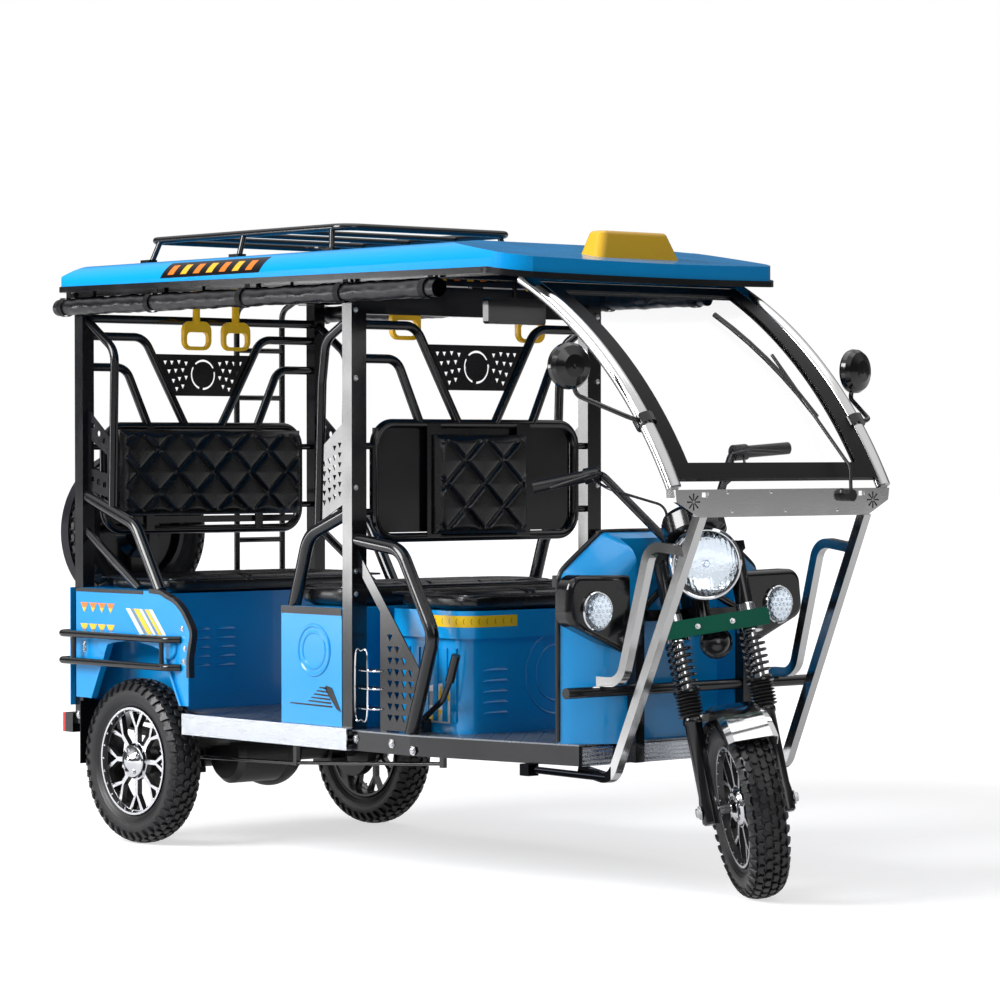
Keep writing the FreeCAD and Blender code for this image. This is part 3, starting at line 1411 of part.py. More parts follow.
def bowed_sheet(inner, outer, start, end, half):
    """A strip that follows the windscreen's bow, from -half to half across."""
    def bow(lift, a, b):
        return Part.Arc(on_screen(a, lift, -half), on_screen((a + b) / 2, lift, -half),
                        on_screen(b, lift, -half)).toShape()
    ends = [Part.makeLine(on_screen(end, inner, -half), on_screen(end, outer, -half)),
            Part.makeLine(on_screen(start, outer, -half), on_screen(start, inner, -half))]
    ring = Part.Wire([bow(inner, start, end), ends[0], bow(outer, end, start), ends[1]])
    return Part.Face(ring).extrude(Vector(0, 2 * half, 0))


def windscreen():
    """The bowed side tubes and foot panel, the rubber frame, and the curved glass."""
    r = d.screen_tube / 2
    bow = Part.Wire(Part.Arc(on_screen(0, 0, d.screen_half), on_screen(0.5, 0, d.screen_half),
                             on_screen(1, 0, d.screen_half)).toShape())
    tangent = on_screen(0.01, 0, d.screen_half) - on_screen(0, 0, d.screen_half)
    ring = Part.Wire(Part.makeCircle(r, on_screen(0, 0, d.screen_half), tangent))
    tube = bow.makePipeShell([ring], True, False)
    foot = [Vector(2142, y, z) for y, z in ((-376, 1022), (376, 1022), (372, 992), (297, 954),
                                            (-297, 954), (-372, 992))]
    panel = slab(foot, Vector(12, 0, 0))
    slots = [solid_box((2130, s * 275 - 12, 1003), (2160, s * 275 + 12, 1015)) for s in (-1, 1)]
    cross = cylinder(12, on_screen(0.02, 0, -d.screen_half), on_screen(0.02, 0, d.screen_half))
    feet = [solid_box((2126, s * d.screen_half - 12, 1002), (2143, s * d.screen_half + 12, 1030))
            for s in (-1, 1)]
    frame = joined([tube, mirrored(tube), panel.cut(apart(slots)), cross] + feet)
    frame = frame.cut(shape_of("roof_frame"))
    shaped("windscreen_frame", frame)
    edge = d.screen_half - r - 0.2
    opening = 296.0
    seal = bowed_sheet(-8, 8, 0.045, 0.972, edge).cut(bowed_sheet(-9, 9, 0.1, 0.915, opening))
    shaped("windscreen_seal", seal.cut(frame))
    shaped("windscreen_glass", bowed_sheet(-d.screen_glass / 2, d.screen_glass / 2, 0.1, 0.915, opening))
    return ["windscreen_frame", "windscreen_seal", "windscreen_glass"]


def wiper():
    """The wiper: spindle housing, arm and blade, parked on the left of the glass."""
    spindle = Vector(2154, 215, 1004)
    housing = cylinder(15, spindle, spindle + Vector(26, 0, 0))
    low = on_screen(0.96, 26, 232)
    joint = on_screen(0.47, 17, 206)
    arm = round_tube([spindle + Vector(20, 0, 0), low + Vector(12, -6, 10), joint], 40, 4.5)
    blade_edges = [on_screen(s, 10.5, 141 + 88 * (s - 0.24) / 0.5) for s in
                   (0.24, 0.32, 0.40, 0.48, 0.56, 0.64, 0.74)]
    pieces = []
    for a, b in zip(blade_edges, blade_edges[1:]):
        pieces.append(cylinder(7, a, b))
    pieces += [Part.makeSphere(7, p) for p in blade_edges[1:-1]]
    body = joined([housing, arm] + pieces)
    return shaped("wiper", body)


def side_mirrors():
    """The outside mirrors on bent stalks from the windscreen tubes."""
    centre = Vector(d.mirror_x, d.mirror_y, d.mirror_z)
    bowl = [(0, 22), (28, 20), (50, 11), (57, 0), (58, -12), (56, -18), (0, -18)]
    facing = Vector(math.cos(math.radians(10)), math.sin(math.radians(10)), 0)
    head = ring_profile(bowl, centre, facing)
    root = on_screen(0.752, 0, d.screen_half)
    stalk = round_tube([root, root + Vector(6, 52, 8), centre + Vector(-6, -20, -70),
                        centre + Vector(0, -8, -20)], 24, 6)
    clamp = cylinder(27, on_screen(0.735, 0, d.screen_half), on_screen(0.769, 0, d.screen_half))
    bow = Part.Wire(Part.Arc(on_screen(0.6, 0, d.screen_half), on_screen(0.75, 0, d.screen_half),
                             on_screen(0.9, 0, d.screen_half)).toShape())
    ring = Part.Wire(Part.makeCircle(d.screen_tube / 2, on_screen(0.6, 0, d.screen_half),
                                     on_screen(0.61, 0, d.screen_half) - on_screen(0.6, 0, d.screen_half)))
    one = joined([head, stalk, clamp]).cut(bow.makePipeShell([ring], True, False))
    one = one.cut(shape_of("windscreen_seal"))
    one = max(one.Solids, key=lambda s: s.Volume)
    return shaped("mirrors", apart([one, mirrored(one), interior_mirror()]))


def crash_guard(others):
    """The polished square-tube bars that guard the front wheel, and the floor struts."""
    side = d.guard_tube
    head = Vector(d.guard_head_x, d.guard_head_y, d.guard_head_z + 12)
    foot = Vector(d.guard_foot_x, d.guard_foot_y, d.guard_foot_z)
    straight = square_tube([head, foot, Vector(d.nose_x - 20, 308, 315)], 40, side, ACROSS)
    bottom = d.bumper_z + 26
    bend = [Vector(1804, 304, bottom), Vector(1888, 304, bottom), Vector(1985, 297, 885),
            Vector(2116, 291, 868)]
    swan = square_tube(bend, 48, side - 1, ACROSS)
    strut = cylinder(9, Vector(1614, 372, 312), Vector(1845, 306, 300))
    lug = solid_box((1598, 356, 296), (1632, 390, 326))
    one = joined([straight, swan, strut, lug])
    for other in others:
        one = one.cut(shape_of(other))
    one = max(one.Solids, key=lambda s: s.Volume)
    return shaped("crash_guard", both_sides(one))


def roof_outline(grow):
    """The roof in plan as a face at Z = 0, its front edge bowed."""
    rear = -d.roof_rear - grow
    half = d.roof_half + grow
    corner = 60 + grow
    side = d.roof_side_end
    nose = d.roof_front + grow
    bulge = corner * (1 - math.sqrt(0.5))
    edges = [Part.Arc(Vector(rear, half - corner, 0), Vector(rear + bulge, half - bulge, 0),
                      Vector(rear + corner, half, 0)).toShape(),
             Part.makeLine(Vector(rear + corner, half, 0), Vector(side, half, 0)),
             Part.Arc(Vector(side, half, 0), Vector(1646 + grow, half - 22, 0),
                      Vector(1680 + grow, half - 62, 0)).toShape(),
             Part.Arc(Vector(1680 + grow, half - 62, 0), Vector(nose, 0, 0),
                      Vector(1680 + grow, 62 - half, 0)).toShape(),
             Part.Arc(Vector(1680 + grow, 62 - half, 0), Vector(1646 + grow, 22 - half, 0),
                      Vector(side, -half, 0)).toShape(),
             Part.makeLine(Vector(side, -half, 0), Vector(rear + corner, -half, 0)),
             Part.Arc(Vector(rear + corner, -half, 0), Vector(rear + bulge, bulge - half, 0),
                      Vector(rear, corner - half, 0)).toShape(),
             Part.makeLine(Vector(rear, corner - half, 0), Vector(rear, half - corner, 0))]
    return Part.Face(Part.Wire(edges))


def roof_solid(shrink):
    """The roof's outer form, or the room inside it, as a solid."""
    plan = roof_outline(-shrink)
    plan.translate(Vector(0, 0, 1400))
    tower = plan.extrude(Vector(0, 0, 600))
    t = shrink
    side = [(-420, 1594.7), (d.roof_side_end + 22, 1580), (1760, 1555),
            (1760, 1589 - t), (1700, 1601 - t), (1300, 1666 - t), (1240, 1669 - t),
            (-180, 1659 - t), (-262 + t, 1652 - t), (-330 + t, 1624 - t), (-362 + t, 1600)]
    if shrink:
        side[0:3] = [(-420, 1500), (d.roof_side_end + 22, 1500), (1760, 1500)]
    profile = slab([Vector(x, -600, z) for x, z in side], Vector(0, 1200, 0))
    half = d.roof_half - t
    edge = Vector(-500, half, 1602 - t / 2)
    shoulder = Vector(-500, half - 64, 1652 - t)
    other_edge = Vector(-500, -half, edge.z)
    other_shoulder = Vector(-500, 64 - half, shoulder.z)
    low = [Vector(-500, -half, 1400), Vector(-500, half, 1400)]
    section = [Part.makeLine(low[0], low[1]), Part.makeLine(low[1], edge),
               Part.Arc(edge, Vector(-500, half - 16, 1635 - t), shoulder).toShape(),
               Part.Arc(shoulder, Vector(-500, 0, 1676 - t), other_shoulder).toShape(),
               Part.Arc(other_shoulder, Vector(-500, 16 - half, 1635 - t), other_edge).toShape(),
               Part.makeLine(other_edge, low[0])]
    arch = Part.Face(Part.Wire(section)).extrude(Vector(2400, 0, 0))
    return tower.common(profile).common(arch)


def roof_shell():
    """The thin moulded roof, hollow below."""
    return shaped("roof_shell", roof_solid(0.0).cut(roof_solid(d.roof_wall)))


def roof_frame():
    """The roof's edge bead, the rails and cross-members inside it and the overhead panel."""
    ring = roof_outline(6.0).cut(roof_outline(-28.0))
    ring.translate(Vector(0, 0, 1400))
    tower = ring.extrude(Vector(0, 0, 400))
    side = [(-420, 1594.7), (d.roof_side_end + 22, 1580), (1760, 1555), (1760, 1539),
            (d.roof_side_end + 22, 1564), (-420, 1578.7)]
    profile = slab([Vector(x, -600, z) for x, z in side], Vector(0, 1200, 0))
    shapes = [tower.common(profile)]
    top = d.post_top + 14
    for sign in (-1, 1):
        shapes.append(solid_box((-340, min(sign * 406, sign * 446), d.post_top),
                                (1600, max(sign * 406, sign * 446), top)))
    for x, wide in ((-300, 104), (300, 34), (700, 34), (925, 67), (1296, 44), (1570, 34)):
        shapes.append(solid_box((x, -452, d.post_top), (x + wide, 452, top)))
    shapes.append(solid_box((d.post_x + 12, -396, d.panel_low), (d.post_x + 34, 396, d.panel_high)))
    for y in (-330, 0, 330):
        shapes.append(solid_box((d.post_x + 14, y - 20, d.panel_high - 4), (d.post_x + 30, y + 20,
                                                                        d.post_top + 2)))
    frame = joined(shapes)
    return shaped("roof_frame", frame)


def roof_carrier():
    """The luggage rail on the roof: a closed loop, cross-bars and legs."""
    r = d.carrier_tube / 2
    z = d.carrier_top - r
    rear, front, half = -d.carrier_rear, d.carrier_front, d.carrier_half
    loop = round_tube([Vector(300, half, z), Vector(front, half, z), Vector(front, -half, z),
                       Vector(rear, -half, z), Vector(rear, half, z), Vector(300, half, z)], 50, r)
    shapes = [loop]
    for x in (rear + 250, rear + 460, rear + 670):
        shapes.append(cylinder(7, Vector(x, -half, z - 3), Vector(x, half, z - 3)))
    for x, lean in ((rear + 56, -26), (rear + 455, 0), (front - 56, 26)):
        for sign in (-1, 1):
            foot = Vector(x + lean, sign * (half + 24), 1640)
            shapes.append(cylinder(8, foot, Vector(x, sign * half, z)))
            shapes.append(solid_box((foot.x - 22, foot.y - 14, 1640), (foot.x + 22, foot.y + 14, 1668)))
    roof = roof_solid(0.0)
    roof.translate(Vector(0, 0, 0.4))
    shape = joined(shapes).cut(roof)
    keep = max(shape.Solids, key=lambda s: s.Volume)
    return shaped("roof_carrier", keep)


def sign_lamp():
    """The blank lit sign box on the front slope of the roof."""
    base = [Vector(1537, -160, 1580), Vector(1640, -160, 1580), Vector(1640, 160, 1580),
            Vector(1537, 160, 1580)]
    top = [Vector(1552, -117, 1684), Vector(1612, -117, 1684), Vector(1612, 117, 1684),
           Vector(1552, 117, 1684)]
    loft = Part.makeLoft([Part.makePolygon(base + base[:1]), Part.makePolygon(top + top[:1])], True, True)
    loft = loft.makeFillet(24, [e for e in loft.Edges if e.BoundBox.ZLength > 50])
    loft = loft.makeFillet(14, [e for e in loft.Edges if e.BoundBox.ZMin > 1683])
    shape = loft.cut(roof_solid(0.0)).cut(solid_box((1400, -300, 1400), (1800, 300, 1601)))
    return shaped("sign_lamp", max(shape.Solids, key=lambda s: s.Volume))


def curtain_rolls():
    """The rolled side curtains, strapped up under the roof's edge."""
    r = d.roll_radius
    roll = ring_profile([(0, 0), (r - 5, 0), (r, 6), (r, d.roll_front + d.roll_rear - 6),
                         (r - 5, d.roll_front + d.roll_rear), (0, d.roll_front + d.roll_rear)],
                        Vector(-d.roll_rear, d.roll_y, d.roll_z), FORWARD)
    straps = [solid_box((x - 12, 462, d.roll_z), (x + 12, 474, 1580)) for x in (-300, 130, 560, 990, 1340)]
    one = joined([roll] + straps).cut(shape_of("roof_frame"))
    one = max(one.Solids, key=lambda s: s.Volume)
    return shaped("curtain_rolls", both_sides(one))


def interior_mirror():
    """The driver's inside mirror, hung from a roof cross-member."""
    head = solid_box((1308, -262, 1448), (1330, -62, 1516))
    head = head.makeFillet(9, [e for e in head.Edges if runs_along(FORWARD)(e)])
    stem = cylinder(6, Vector(1319, -162, 1500), Vector(1319, -162, d.post_top))
    return joined([head, stem])


def grab_handle(x, y):
    """A D-shaped hand strap on a round stem, hung from a roof cross-member."""
    half = d.handle_width / 2
    depth = d.handle_tube
    top = 1500.0
    low = top - d.handle_height

    def ring(side, high, base, corner):
        pad = solid_box((x - depth / 2, y - side, base), (x + depth / 2, y + side, high))
        return pad.makeFillet(corner, [e for e in pad.Edges if runs_along(FORWARD)(e)])

    outer = ring(half, top, low, 28)
    slot = ring(half - 11, top - 32, low + 11, 14)
    stem = cylinder(11, Vector(x, y, top - 6), Vector(x, y, d.post_top))
    return joined([outer.cut(slot), stem])


def grab_handles():
    """Two hand straps over the rear seat and two over the bench."""
    spots = ((-214, -72), (-214, 72), (942, -224), (942, 224))
    return shaped("grab_handles", apart([grab_handle(x, y) for x, y in spots]))


def ladder(others):
    """The rear ladder from the tail to the roof's edge."""
    r = d.ladder_tube / 2
    x = -450.0 + r
    shapes = []
    for y in (d.ladder_inner, d.ladder_outer):
        tip = Vector(-d.roof_rear + 4, y, 1582)
        shapes.append(round_tube([Vector(-d.rear_face - 1, y, 610), Vector(x, y, 650),
                                  Vector(x, y, 1548), tip], 40, r))
    for z in (700, 845, 990, 1135, 1280, 1425):
        shapes.append(cylinder(8, Vector(x, d.ladder_inner, z), Vector(x, d.ladder_outer, z)))
    one = joined(shapes)
    for other in others:
        one = one.cut(shape_of(other))
    one = max(one.Solids, key=lambda s: s.Volume)
    return shaped("ladder", one)


def spare_wheel():
    """The spare wheel on the tail: tyre, plain steel disc, hub carrier and dished cover."""
    body = tyre("spare_tyre")
    centre = Vector(-395, -d.spare_y, d.spare_z)
    body.Placement = Placement(centre, Rotation(UP, 90))
    steel = [(16, 20), (60, 20), (84, 4), (d.rim_radius - 14, 4), (d.rim_radius - 14, -31),
             (d.rim_radius, -31), (d.rim_radius, 31), (d.rim_radius - 14, 31),
             (d.rim_radius - 14, 8), (80, 8), (56, 24), (16, 24)]
    disc = ring_profile(steel, centre, FORWARD)
    cover = [(0, -62), (120, -62), (150, -52), (d.tyre_radius - 4, -52), (d.tyre_radius + 4, -44),
             (d.tyre_radius + 4, -6), (d.tyre_radius + 1, -6), (d.tyre_radius + 1, -42),
             (d.tyre_radius - 6, -48.5), (148, -48.5), (118, -58), (0, -58)]
    shaped("spare_cover", ring_profile(cover, centre, FORWARD))
    back = -d.rear_face - d.sheet_wall
    post = solid_box((back - 28, -d.spare_y - 16, 600), (back, -d.spare_y + 16, d.spare_z + 30))
    arm = cylinder(18, centre + Vector(-30, 0, 0), Vector(back - 4, -d.spare_y, d.spare_z))
    flange = cylinder(50, centre + Vector(24, 0, 0), centre + Vector(34, 0, 0))
    prop = cylinder(16, centre + Vector(-58, 0, 0), centre + Vector(-30, 0, 0))
    brace = solid_box((back, -d.spare_y - 12, 889), (-293, -d.spare_y + 12, 901))
    shaped("spare_carrier", joined([post, arm, flange, prop, brace, disc]))
    return ["spare_tyre", "spare_cover", "spare_carrier"]


def brake_controls():
    """The hand-brake lever and foot brake on the floor, and the pull rods below it."""
    top = d.floor_top
    lever = round_tube([Vector(1150, -348, top + 22), Vector(1290, -385, 470), Vector(1322, -388, 520)],
                       30, 8)
    grip = cylinder(12, Vector(1322, -388, 520), Vector(1350, -390, 590))
    base = solid_box((1120, -362, top), (1186, -338, top + 34))
    pedal_foot = solid_box((1640, -150, top), (1664, -110, top + 30))
    pedal = round_tube([Vector(1652, -130, top + 20), Vector(1668, -130, 470), Vector(1630, -130, 500)],
                       16, 8)
    pad = solid_box((1596, -168, 494), (1648, -92, 508))
    pieces = [joined([lever, grip, base]), joined([pedal_foot, pedal, pad])]
    for sign in (-1, 1):
        y = sign * 345
        rod_line = round_tube([Vector(92, y, 250), Vector(600, y, 262), Vector(1240, y, 300)], 60, 5)
        lever = solid_box((84, y - 4, 240), (98, y + 4, 262))
        hanger = solid_box((1236, sign * 345 - 6, 290), (1252, sign * 345 + 6, 326))
        clip = solid_box((612, sign * 345 - 6, 256), (626, sign * 345 + 6, 326))
        drum = cylinder(d.drum_radius, Vector(0, sign * 338, d.tyre_radius),
                        Vector(0, sign * 380, d.tyre_radius))
        pieces.append(joined([rod_line, lever.cut(drum), hanger, clip]))
    return shaped("brake_controls", apart(pieces))


def control_cables():
    """The black cables from the hand controls down to the back of the headlamp."""
    pieces = []
    for sign, low, out in ((-1, 812, 52), (1, 806, 60)):
        start = Vector(-74, sign * 206, d.handlebar_height - 6)
        points = [start, Vector(30, sign * 180, 1080), Vector(58, sign * out, 1010),
                  Vector(44, sign * out, low)]
        pieces.append(round_tube(points, 34, 3.5))
    loose = on_steering(apart(pieces))
    for other in ("fork", "handlebar", "hand_controls", "headlamp"):
        loose = loose.cut(shape_of(other))
    keep = sorted(loose.Solids, key=lambda s: -s.Volume)[:2]
    return shaped("control_cables", apart(keep))


def build():
    """Draw every sub-part and return their names in order."""
    names = []

    def add(item):
        for name in item if isinstance(item, list) else [item.Label]:
            names.append(name)
        doc.recompute()

    for draw in (chassis_frame, floor_plate, sill_trim, rear_axle, side_panels,
                 rear_seat_base, cushions, back_pads, bench_box, bench_sides, battery_pack,
                 driver_seat_box, mud_flaps, tail_lamps, back_frames, crest_plates, guard_rails, leg_shield,
                 dash_panel, lamp_pods, side_lamps, front_frame, roof_frame, roof_shell,
                 windscreen, wiper, side_mirrors, roof_carrier, sign_lamp, curtain_rolls,
                 grab_handles, spare_wheel, brake_controls, headlamp, headlamp_lens, fork,
                 handlebar, hand_controls, front_mudguard, number_plate, control_cables,
                 front_wheel, rear_wheels):
        add(draw())
    add(side_frames())
    add(crash_guard(("front_frame", "windscreen_frame", "chassis_frame")))
    add(ladder(("roof_frame", "side_panels")))
    return names


def middle_it(names):
    """Move every sub-part so that X = 0 is midway between the front and rear extents."""
    for name in names:
        item = doc.getObjectsByLabel(name)[0]
        item.setExpression("Placement.Base.x", None)
        spot_x = item.Placement.Base.x - d.axle_back
        bind(item, Base_x=f"{spot_x + d.axle_back:.6f} - axle_back")


def checked(item):
    """Stop if a sub-part's shape is missing or broken."""
    wrong = [state for state in item.State if state in ("Invalid", "Error")]
    shape = item.Shape
    if wrong or shape.isNull() or not shape.isValid() or not shape.Solids:
        raise RuntimeError(f"{item.Label} is broken: {item.State}")
    return shape


os.makedirs(OUTPUT, exist_ok=True)
for stale in os.listdir(OUTPUT):
    os.remove(os.path.join(OUTPUT, stale))
NODES = build()
middle_it(NODES)
doc.recompute()
for node in NODES:
    shape_now = checked(doc.getObjectsByLabel(node)[0])
    shape_now.exportStep(os.path.join(OUTPUT, f"{node}.step"))
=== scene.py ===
"""Looks of the battery auto rickshaw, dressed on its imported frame.

Metres, +X forward, +Y to the vehicle's left, +Z up, the ground at Z = 0.
The sections follow the vehicle as it is put together, from the underframe up.
"""

import math

import bmesh
import bpy
import numpy as np
from mathutils import Matrix, Vector


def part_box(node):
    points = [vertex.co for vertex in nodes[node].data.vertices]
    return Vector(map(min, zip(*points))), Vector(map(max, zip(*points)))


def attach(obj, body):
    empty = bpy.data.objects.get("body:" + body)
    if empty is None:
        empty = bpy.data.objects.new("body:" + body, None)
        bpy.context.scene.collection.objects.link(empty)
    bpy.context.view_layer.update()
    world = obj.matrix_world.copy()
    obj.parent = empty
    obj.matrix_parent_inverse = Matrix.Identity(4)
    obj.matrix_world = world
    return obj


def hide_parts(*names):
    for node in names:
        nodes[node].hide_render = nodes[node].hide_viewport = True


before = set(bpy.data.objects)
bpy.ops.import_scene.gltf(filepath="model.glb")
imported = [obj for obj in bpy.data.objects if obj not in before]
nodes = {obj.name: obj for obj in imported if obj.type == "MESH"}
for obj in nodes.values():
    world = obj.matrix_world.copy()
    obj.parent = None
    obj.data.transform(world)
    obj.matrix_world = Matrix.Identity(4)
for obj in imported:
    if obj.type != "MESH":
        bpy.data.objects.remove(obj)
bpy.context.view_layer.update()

# Underframe: box-section rails and cross-members, welded, then powder coated gloss
# black. The coat shows a fine orange peel, a little road dust low down and soft
# changes of gloss.
AXLE_X = -0.9085
COAT_BLACK = (0.0045, 0.005, 0.0065, 1)
DUST = (0.23, 0.2, 0.17, 1)


def add_node(tree, kind, inputs, **settings):
    """A shader node: its settings, then its inputs, each a plain value or another socket."""
    node = tree.nodes.new(kind)
    for name, value in settings.items():
        setattr(node, name, value)
    for place, value in inputs.items():
        if isinstance(value, bpy.types.NodeSocket):
            tree.links.new(value, node.inputs[place])
        else:
            node.inputs[place].default_value = value
    return node


def worn_surface_group():
    """Shader group for every finish: dust low down, broken-up gloss and fine grain.

    The dust mask is a ramp that falls with height times a broad noise; the roughness
    swings about its middle with that noise; the height is a fine noise.
    """
    group = bpy.data.node_groups.new("worn_surface", "ShaderNodeTree")
    for name, kind, value in (("Vector", "NodeSocketVector", None), ("Colour", "NodeSocketColor", None),
                              ("Dust Colour", "NodeSocketColor", None), ("Dust", "NodeSocketFloat", 0.2),
                              ("Dust Top", "NodeSocketFloat", 0.5), ("Grain Scale", "NodeSocketFloat", 300),
                              ("Middle", "NodeSocketFloat", 0.3), ("Swing", "NodeSocketFloat", 0.1)):
        socket = group.interface.new_socket(name, in_out="INPUT", socket_type=kind)
        if value is not None:
            socket.default_value = value
    for name, kind in (("Colour", "NodeSocketColor"), ("Roughness", "NodeSocketFloat"),
                       ("Height", "NodeSocketFloat")):
        group.interface.new_socket(name, in_out="OUTPUT", socket_type=kind)
    start = group.nodes.new("NodeGroupInput").outputs
    fine = add_node(group, "ShaderNodeTexNoise", {"Vector": start["Vector"], "Scale": start["Grain Scale"],
                                                  "Detail": 2})
    broad = add_node(group, "ShaderNodeTexNoise", {"Vector": start["Vector"], "Scale": 6, "Detail": 4})
    apart = add_node(group, "ShaderNodeSeparateXYZ", {0: start["Vector"]})
    ramp = add_node(group, "ShaderNodeMapRange", {"Value": apart.outputs["Z"], "From Max": start["Dust Top"],
                                                  "To Min": 1, "To Max": 0})
    patchy = add_node(group, "ShaderNodeMath", {0: ramp.outputs[0], 1: broad.outputs[0]}, operation="MULTIPLY")
    mask = add_node(group, "ShaderNodeMath", {0: patchy.outputs[0], 1: start["Dust"]}, operation="MULTIPLY")
    blend = add_node(group, "ShaderNodeMix", {"Factor": mask.outputs[0], "A": start["Colour"],
                                              "B": start["Dust Colour"]}, data_type="RGBA")
    low, high = (add_node(group, "ShaderNodeMath", {0: start["Middle"], 1: start["Swing"]},
                          operation=kind).outputs[0] for kind in ("SUBTRACT", "ADD"))
    swing = add_node(group, "ShaderNodeMapRange", {"Value": broad.outputs[0], "From Min": 0.3, "From Max": 0.7,
                                                   "To Min": low, "To Max": high})
    add_node(group, "NodeGroupOutput", {"Colour": blend.outputs["Result"], "Roughness": swing.outputs[0],
                                        "Height": fine.outputs[0]})
    return group


worn_surface = worn_surface_group()


class Finish:
    """One material: a Principled shader fed by the shared worn surface."""

    def __init__(self, name, colour, rough, swing=0.04, grain=300, bump=0.02, dust=0.12, dust_top=0.5,
                 stretch=(1, 1, 1), **constants):
        self.material = bpy.data.materials.new(name)
        self.material.use_nodes = True
        tree = self.tree = self.material.node_tree
        self.shader = tree.nodes["Principled BSDF"]
        self.place = tree.nodes.new("ShaderNodeTexCoord")
        vector = self.place.outputs["Object"]
        if stretch != (1, 1, 1):
            vector = add_node(tree, "ShaderNodeMapping", {"Vector": vector, "Scale": stretch}).outputs[0]
        self.worn = tree.nodes.new("ShaderNodeGroup")
        self.worn.node_tree = worn_surface
        tree.links.new(vector, self.worn.inputs["Vector"])
        for socket, value in (("Colour", colour), ("Dust Colour", DUST), ("Dust", dust),
                              ("Dust Top", dust_top), ("Grain Scale", grain), ("Middle", rough),
                              ("Swing", swing)):
            self.worn.inputs[socket].default_value = value
        self.bump = add_node(tree, "ShaderNodeBump", {"Strength": bump, "Distance": 0.002,
                                                      "Height": self.worn.outputs["Height"]})
        for source, socket in ((self.bump.outputs[0], "Normal"), (self.worn.outputs["Colour"], "Base Color"),
                               (self.worn.outputs["Roughness"], "Roughness")):
            tree.links.new(source, self.shader.inputs[socket])
        for socket, value in constants.items():
            self.shader.inputs[socket.replace("_", " ")].default_value = value

    def sum(self, operation, *values):
        """A maths node over sockets and plain numbers."""
        return add_node(self.tree, "ShaderNodeMath", dict(enumerate(values)), operation=operation).outputs[0]

    def axes(self):
        """The three object coordinates."""
        return add_node(self.tree, "ShaderNodeSeparateXYZ", {0: self.place.outputs["Object"]}).outputs

    def between(self, value, low, high, soft=0.0006):
        """1 where a value lies between two limits, with a soft edge."""
        rise = self.sum("MULTIPLY", self.sum("SUBTRACT", value, low), 1 / soft)
        fall = self.sum("MULTIPLY", self.sum("SUBTRACT", high, value), 1 / soft)
        return self.sum("MINIMUM", self.sum("MAXIMUM", self.sum("MINIMUM", rise, fall), 0.0), 1.0)

    def paint_over(self, mask, colour):
        """Mix a colour over the base colour where the mask is 1."""
        base = self.shader.inputs["Base Color"]
        blend = add_node(self.tree, "ShaderNodeMix", {"Factor": mask, "A": base.links[0].from_socket, "B": colour},
                         data_type="RGBA")
        self.tree.links.new(blend.outputs["Result"], base)

    def mix_into(self, socket, mask, value):
        """Mix a number into a linked socket where the mask is 1."""
        place = self.shader.inputs[socket]
        old = place.links[0].from_socket if place.is_linked else place.default_value
        blend = add_node(self.tree, "ShaderNodeMix", {"Factor": mask, "A": old, "B": value})
        self.tree.links.new(blend.outputs["Result"], place)

    def raise_by(self, height, amount):
        """Add a height to the bump."""
        old = self.bump.inputs["Height"].links[0].from_socket
        self.tree.links.new(self.sum("MULTIPLY_ADD", height, amount, old), self.bump.inputs["Height"])


def dress(finish, *names):
    """Put a finish on CAD nodes."""
    for name in names:
        materials = nodes[name].data.materials
        materials.clear()
        materials.append(finish.material)


def piece(name, parts, finish, body, smooth=True):
    """One object from parts, each a pair of points and faces, normals outwards."""
    mesh = bpy.data.meshes.new(name)
    points, faces, first = [], [], 0
    for at, blocks in parts:
        at = np.asarray(at, float).reshape(-1, 3)
        points.append(at)
        for block in blocks if isinstance(blocks, list) else [blocks]:
            faces += (np.asarray(block) + first).tolist()
        first += len(at)
    mesh.from_pydata(np.concatenate(points).tolist(), [], faces)
    work = bmesh.new()
    work.from_mesh(mesh)
    bmesh.ops.remove_doubles(work, verts=work.verts, dist=1e-6)
    bmesh.ops.recalc_face_normals(work, faces=work.faces)
    work.to_mesh(mesh)
    work.free()
    mesh.polygons.foreach_set("use_smooth", [smooth] * len(mesh.polygons))
    item = bpy.data.objects.new(name, mesh)
    bpy.context.scene.collection.objects.link(item)
    mesh.materials.append(finish.material)
    if smooth:
        with bpy.context.temp_override(object=item, active_object=item, selected_objects=[item],
                                       selected_editable_objects=[item]):
            bpy.ops.object.shade_smooth_by_angle(angle=math.radians(38))
    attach(item, body)
    return item


def sheet_faces(rows, columns, wrap_rows=False, wrap_columns=False):
    """The four-sided faces of a grid of points."""
    i = np.arange(rows if wrap_rows else rows - 1)[:, None]
    j = np.arange(columns if wrap_columns else columns - 1)[None]
    below, right = (i + 1) % rows, (j + 1) % columns
    return np.stack([(i * columns + j), (i * columns + right), (below * columns + right),
                     (below * columns + j)], -1).reshape(-1, 4)


def turned(profile, centre, axis, sides=32):
    """A solid of revolution: (radius, height) pairs swept round an axis from a centre."""
    profile = np.asarray(profile, float)
    axis = np.asarray(axis, float) / np.linalg.norm(axis)
    side = np.cross(axis, (0.123, 0.456, 0.789))
    side /= np.linalg.norm(side)
    other = np.cross(axis, side)
    turn = np.arange(sides) * 2 * np.pi / sides
    ring = np.cos(turn)[:, None] * side + np.sin(turn)[:, None] * other
    points = (np.asarray(centre, float) + profile[:, 1, None, None] * axis
              + profile[:, 0, None, None] * ring[None])
    return points, sheet_faces(len(profile), sides, wrap_columns=True)


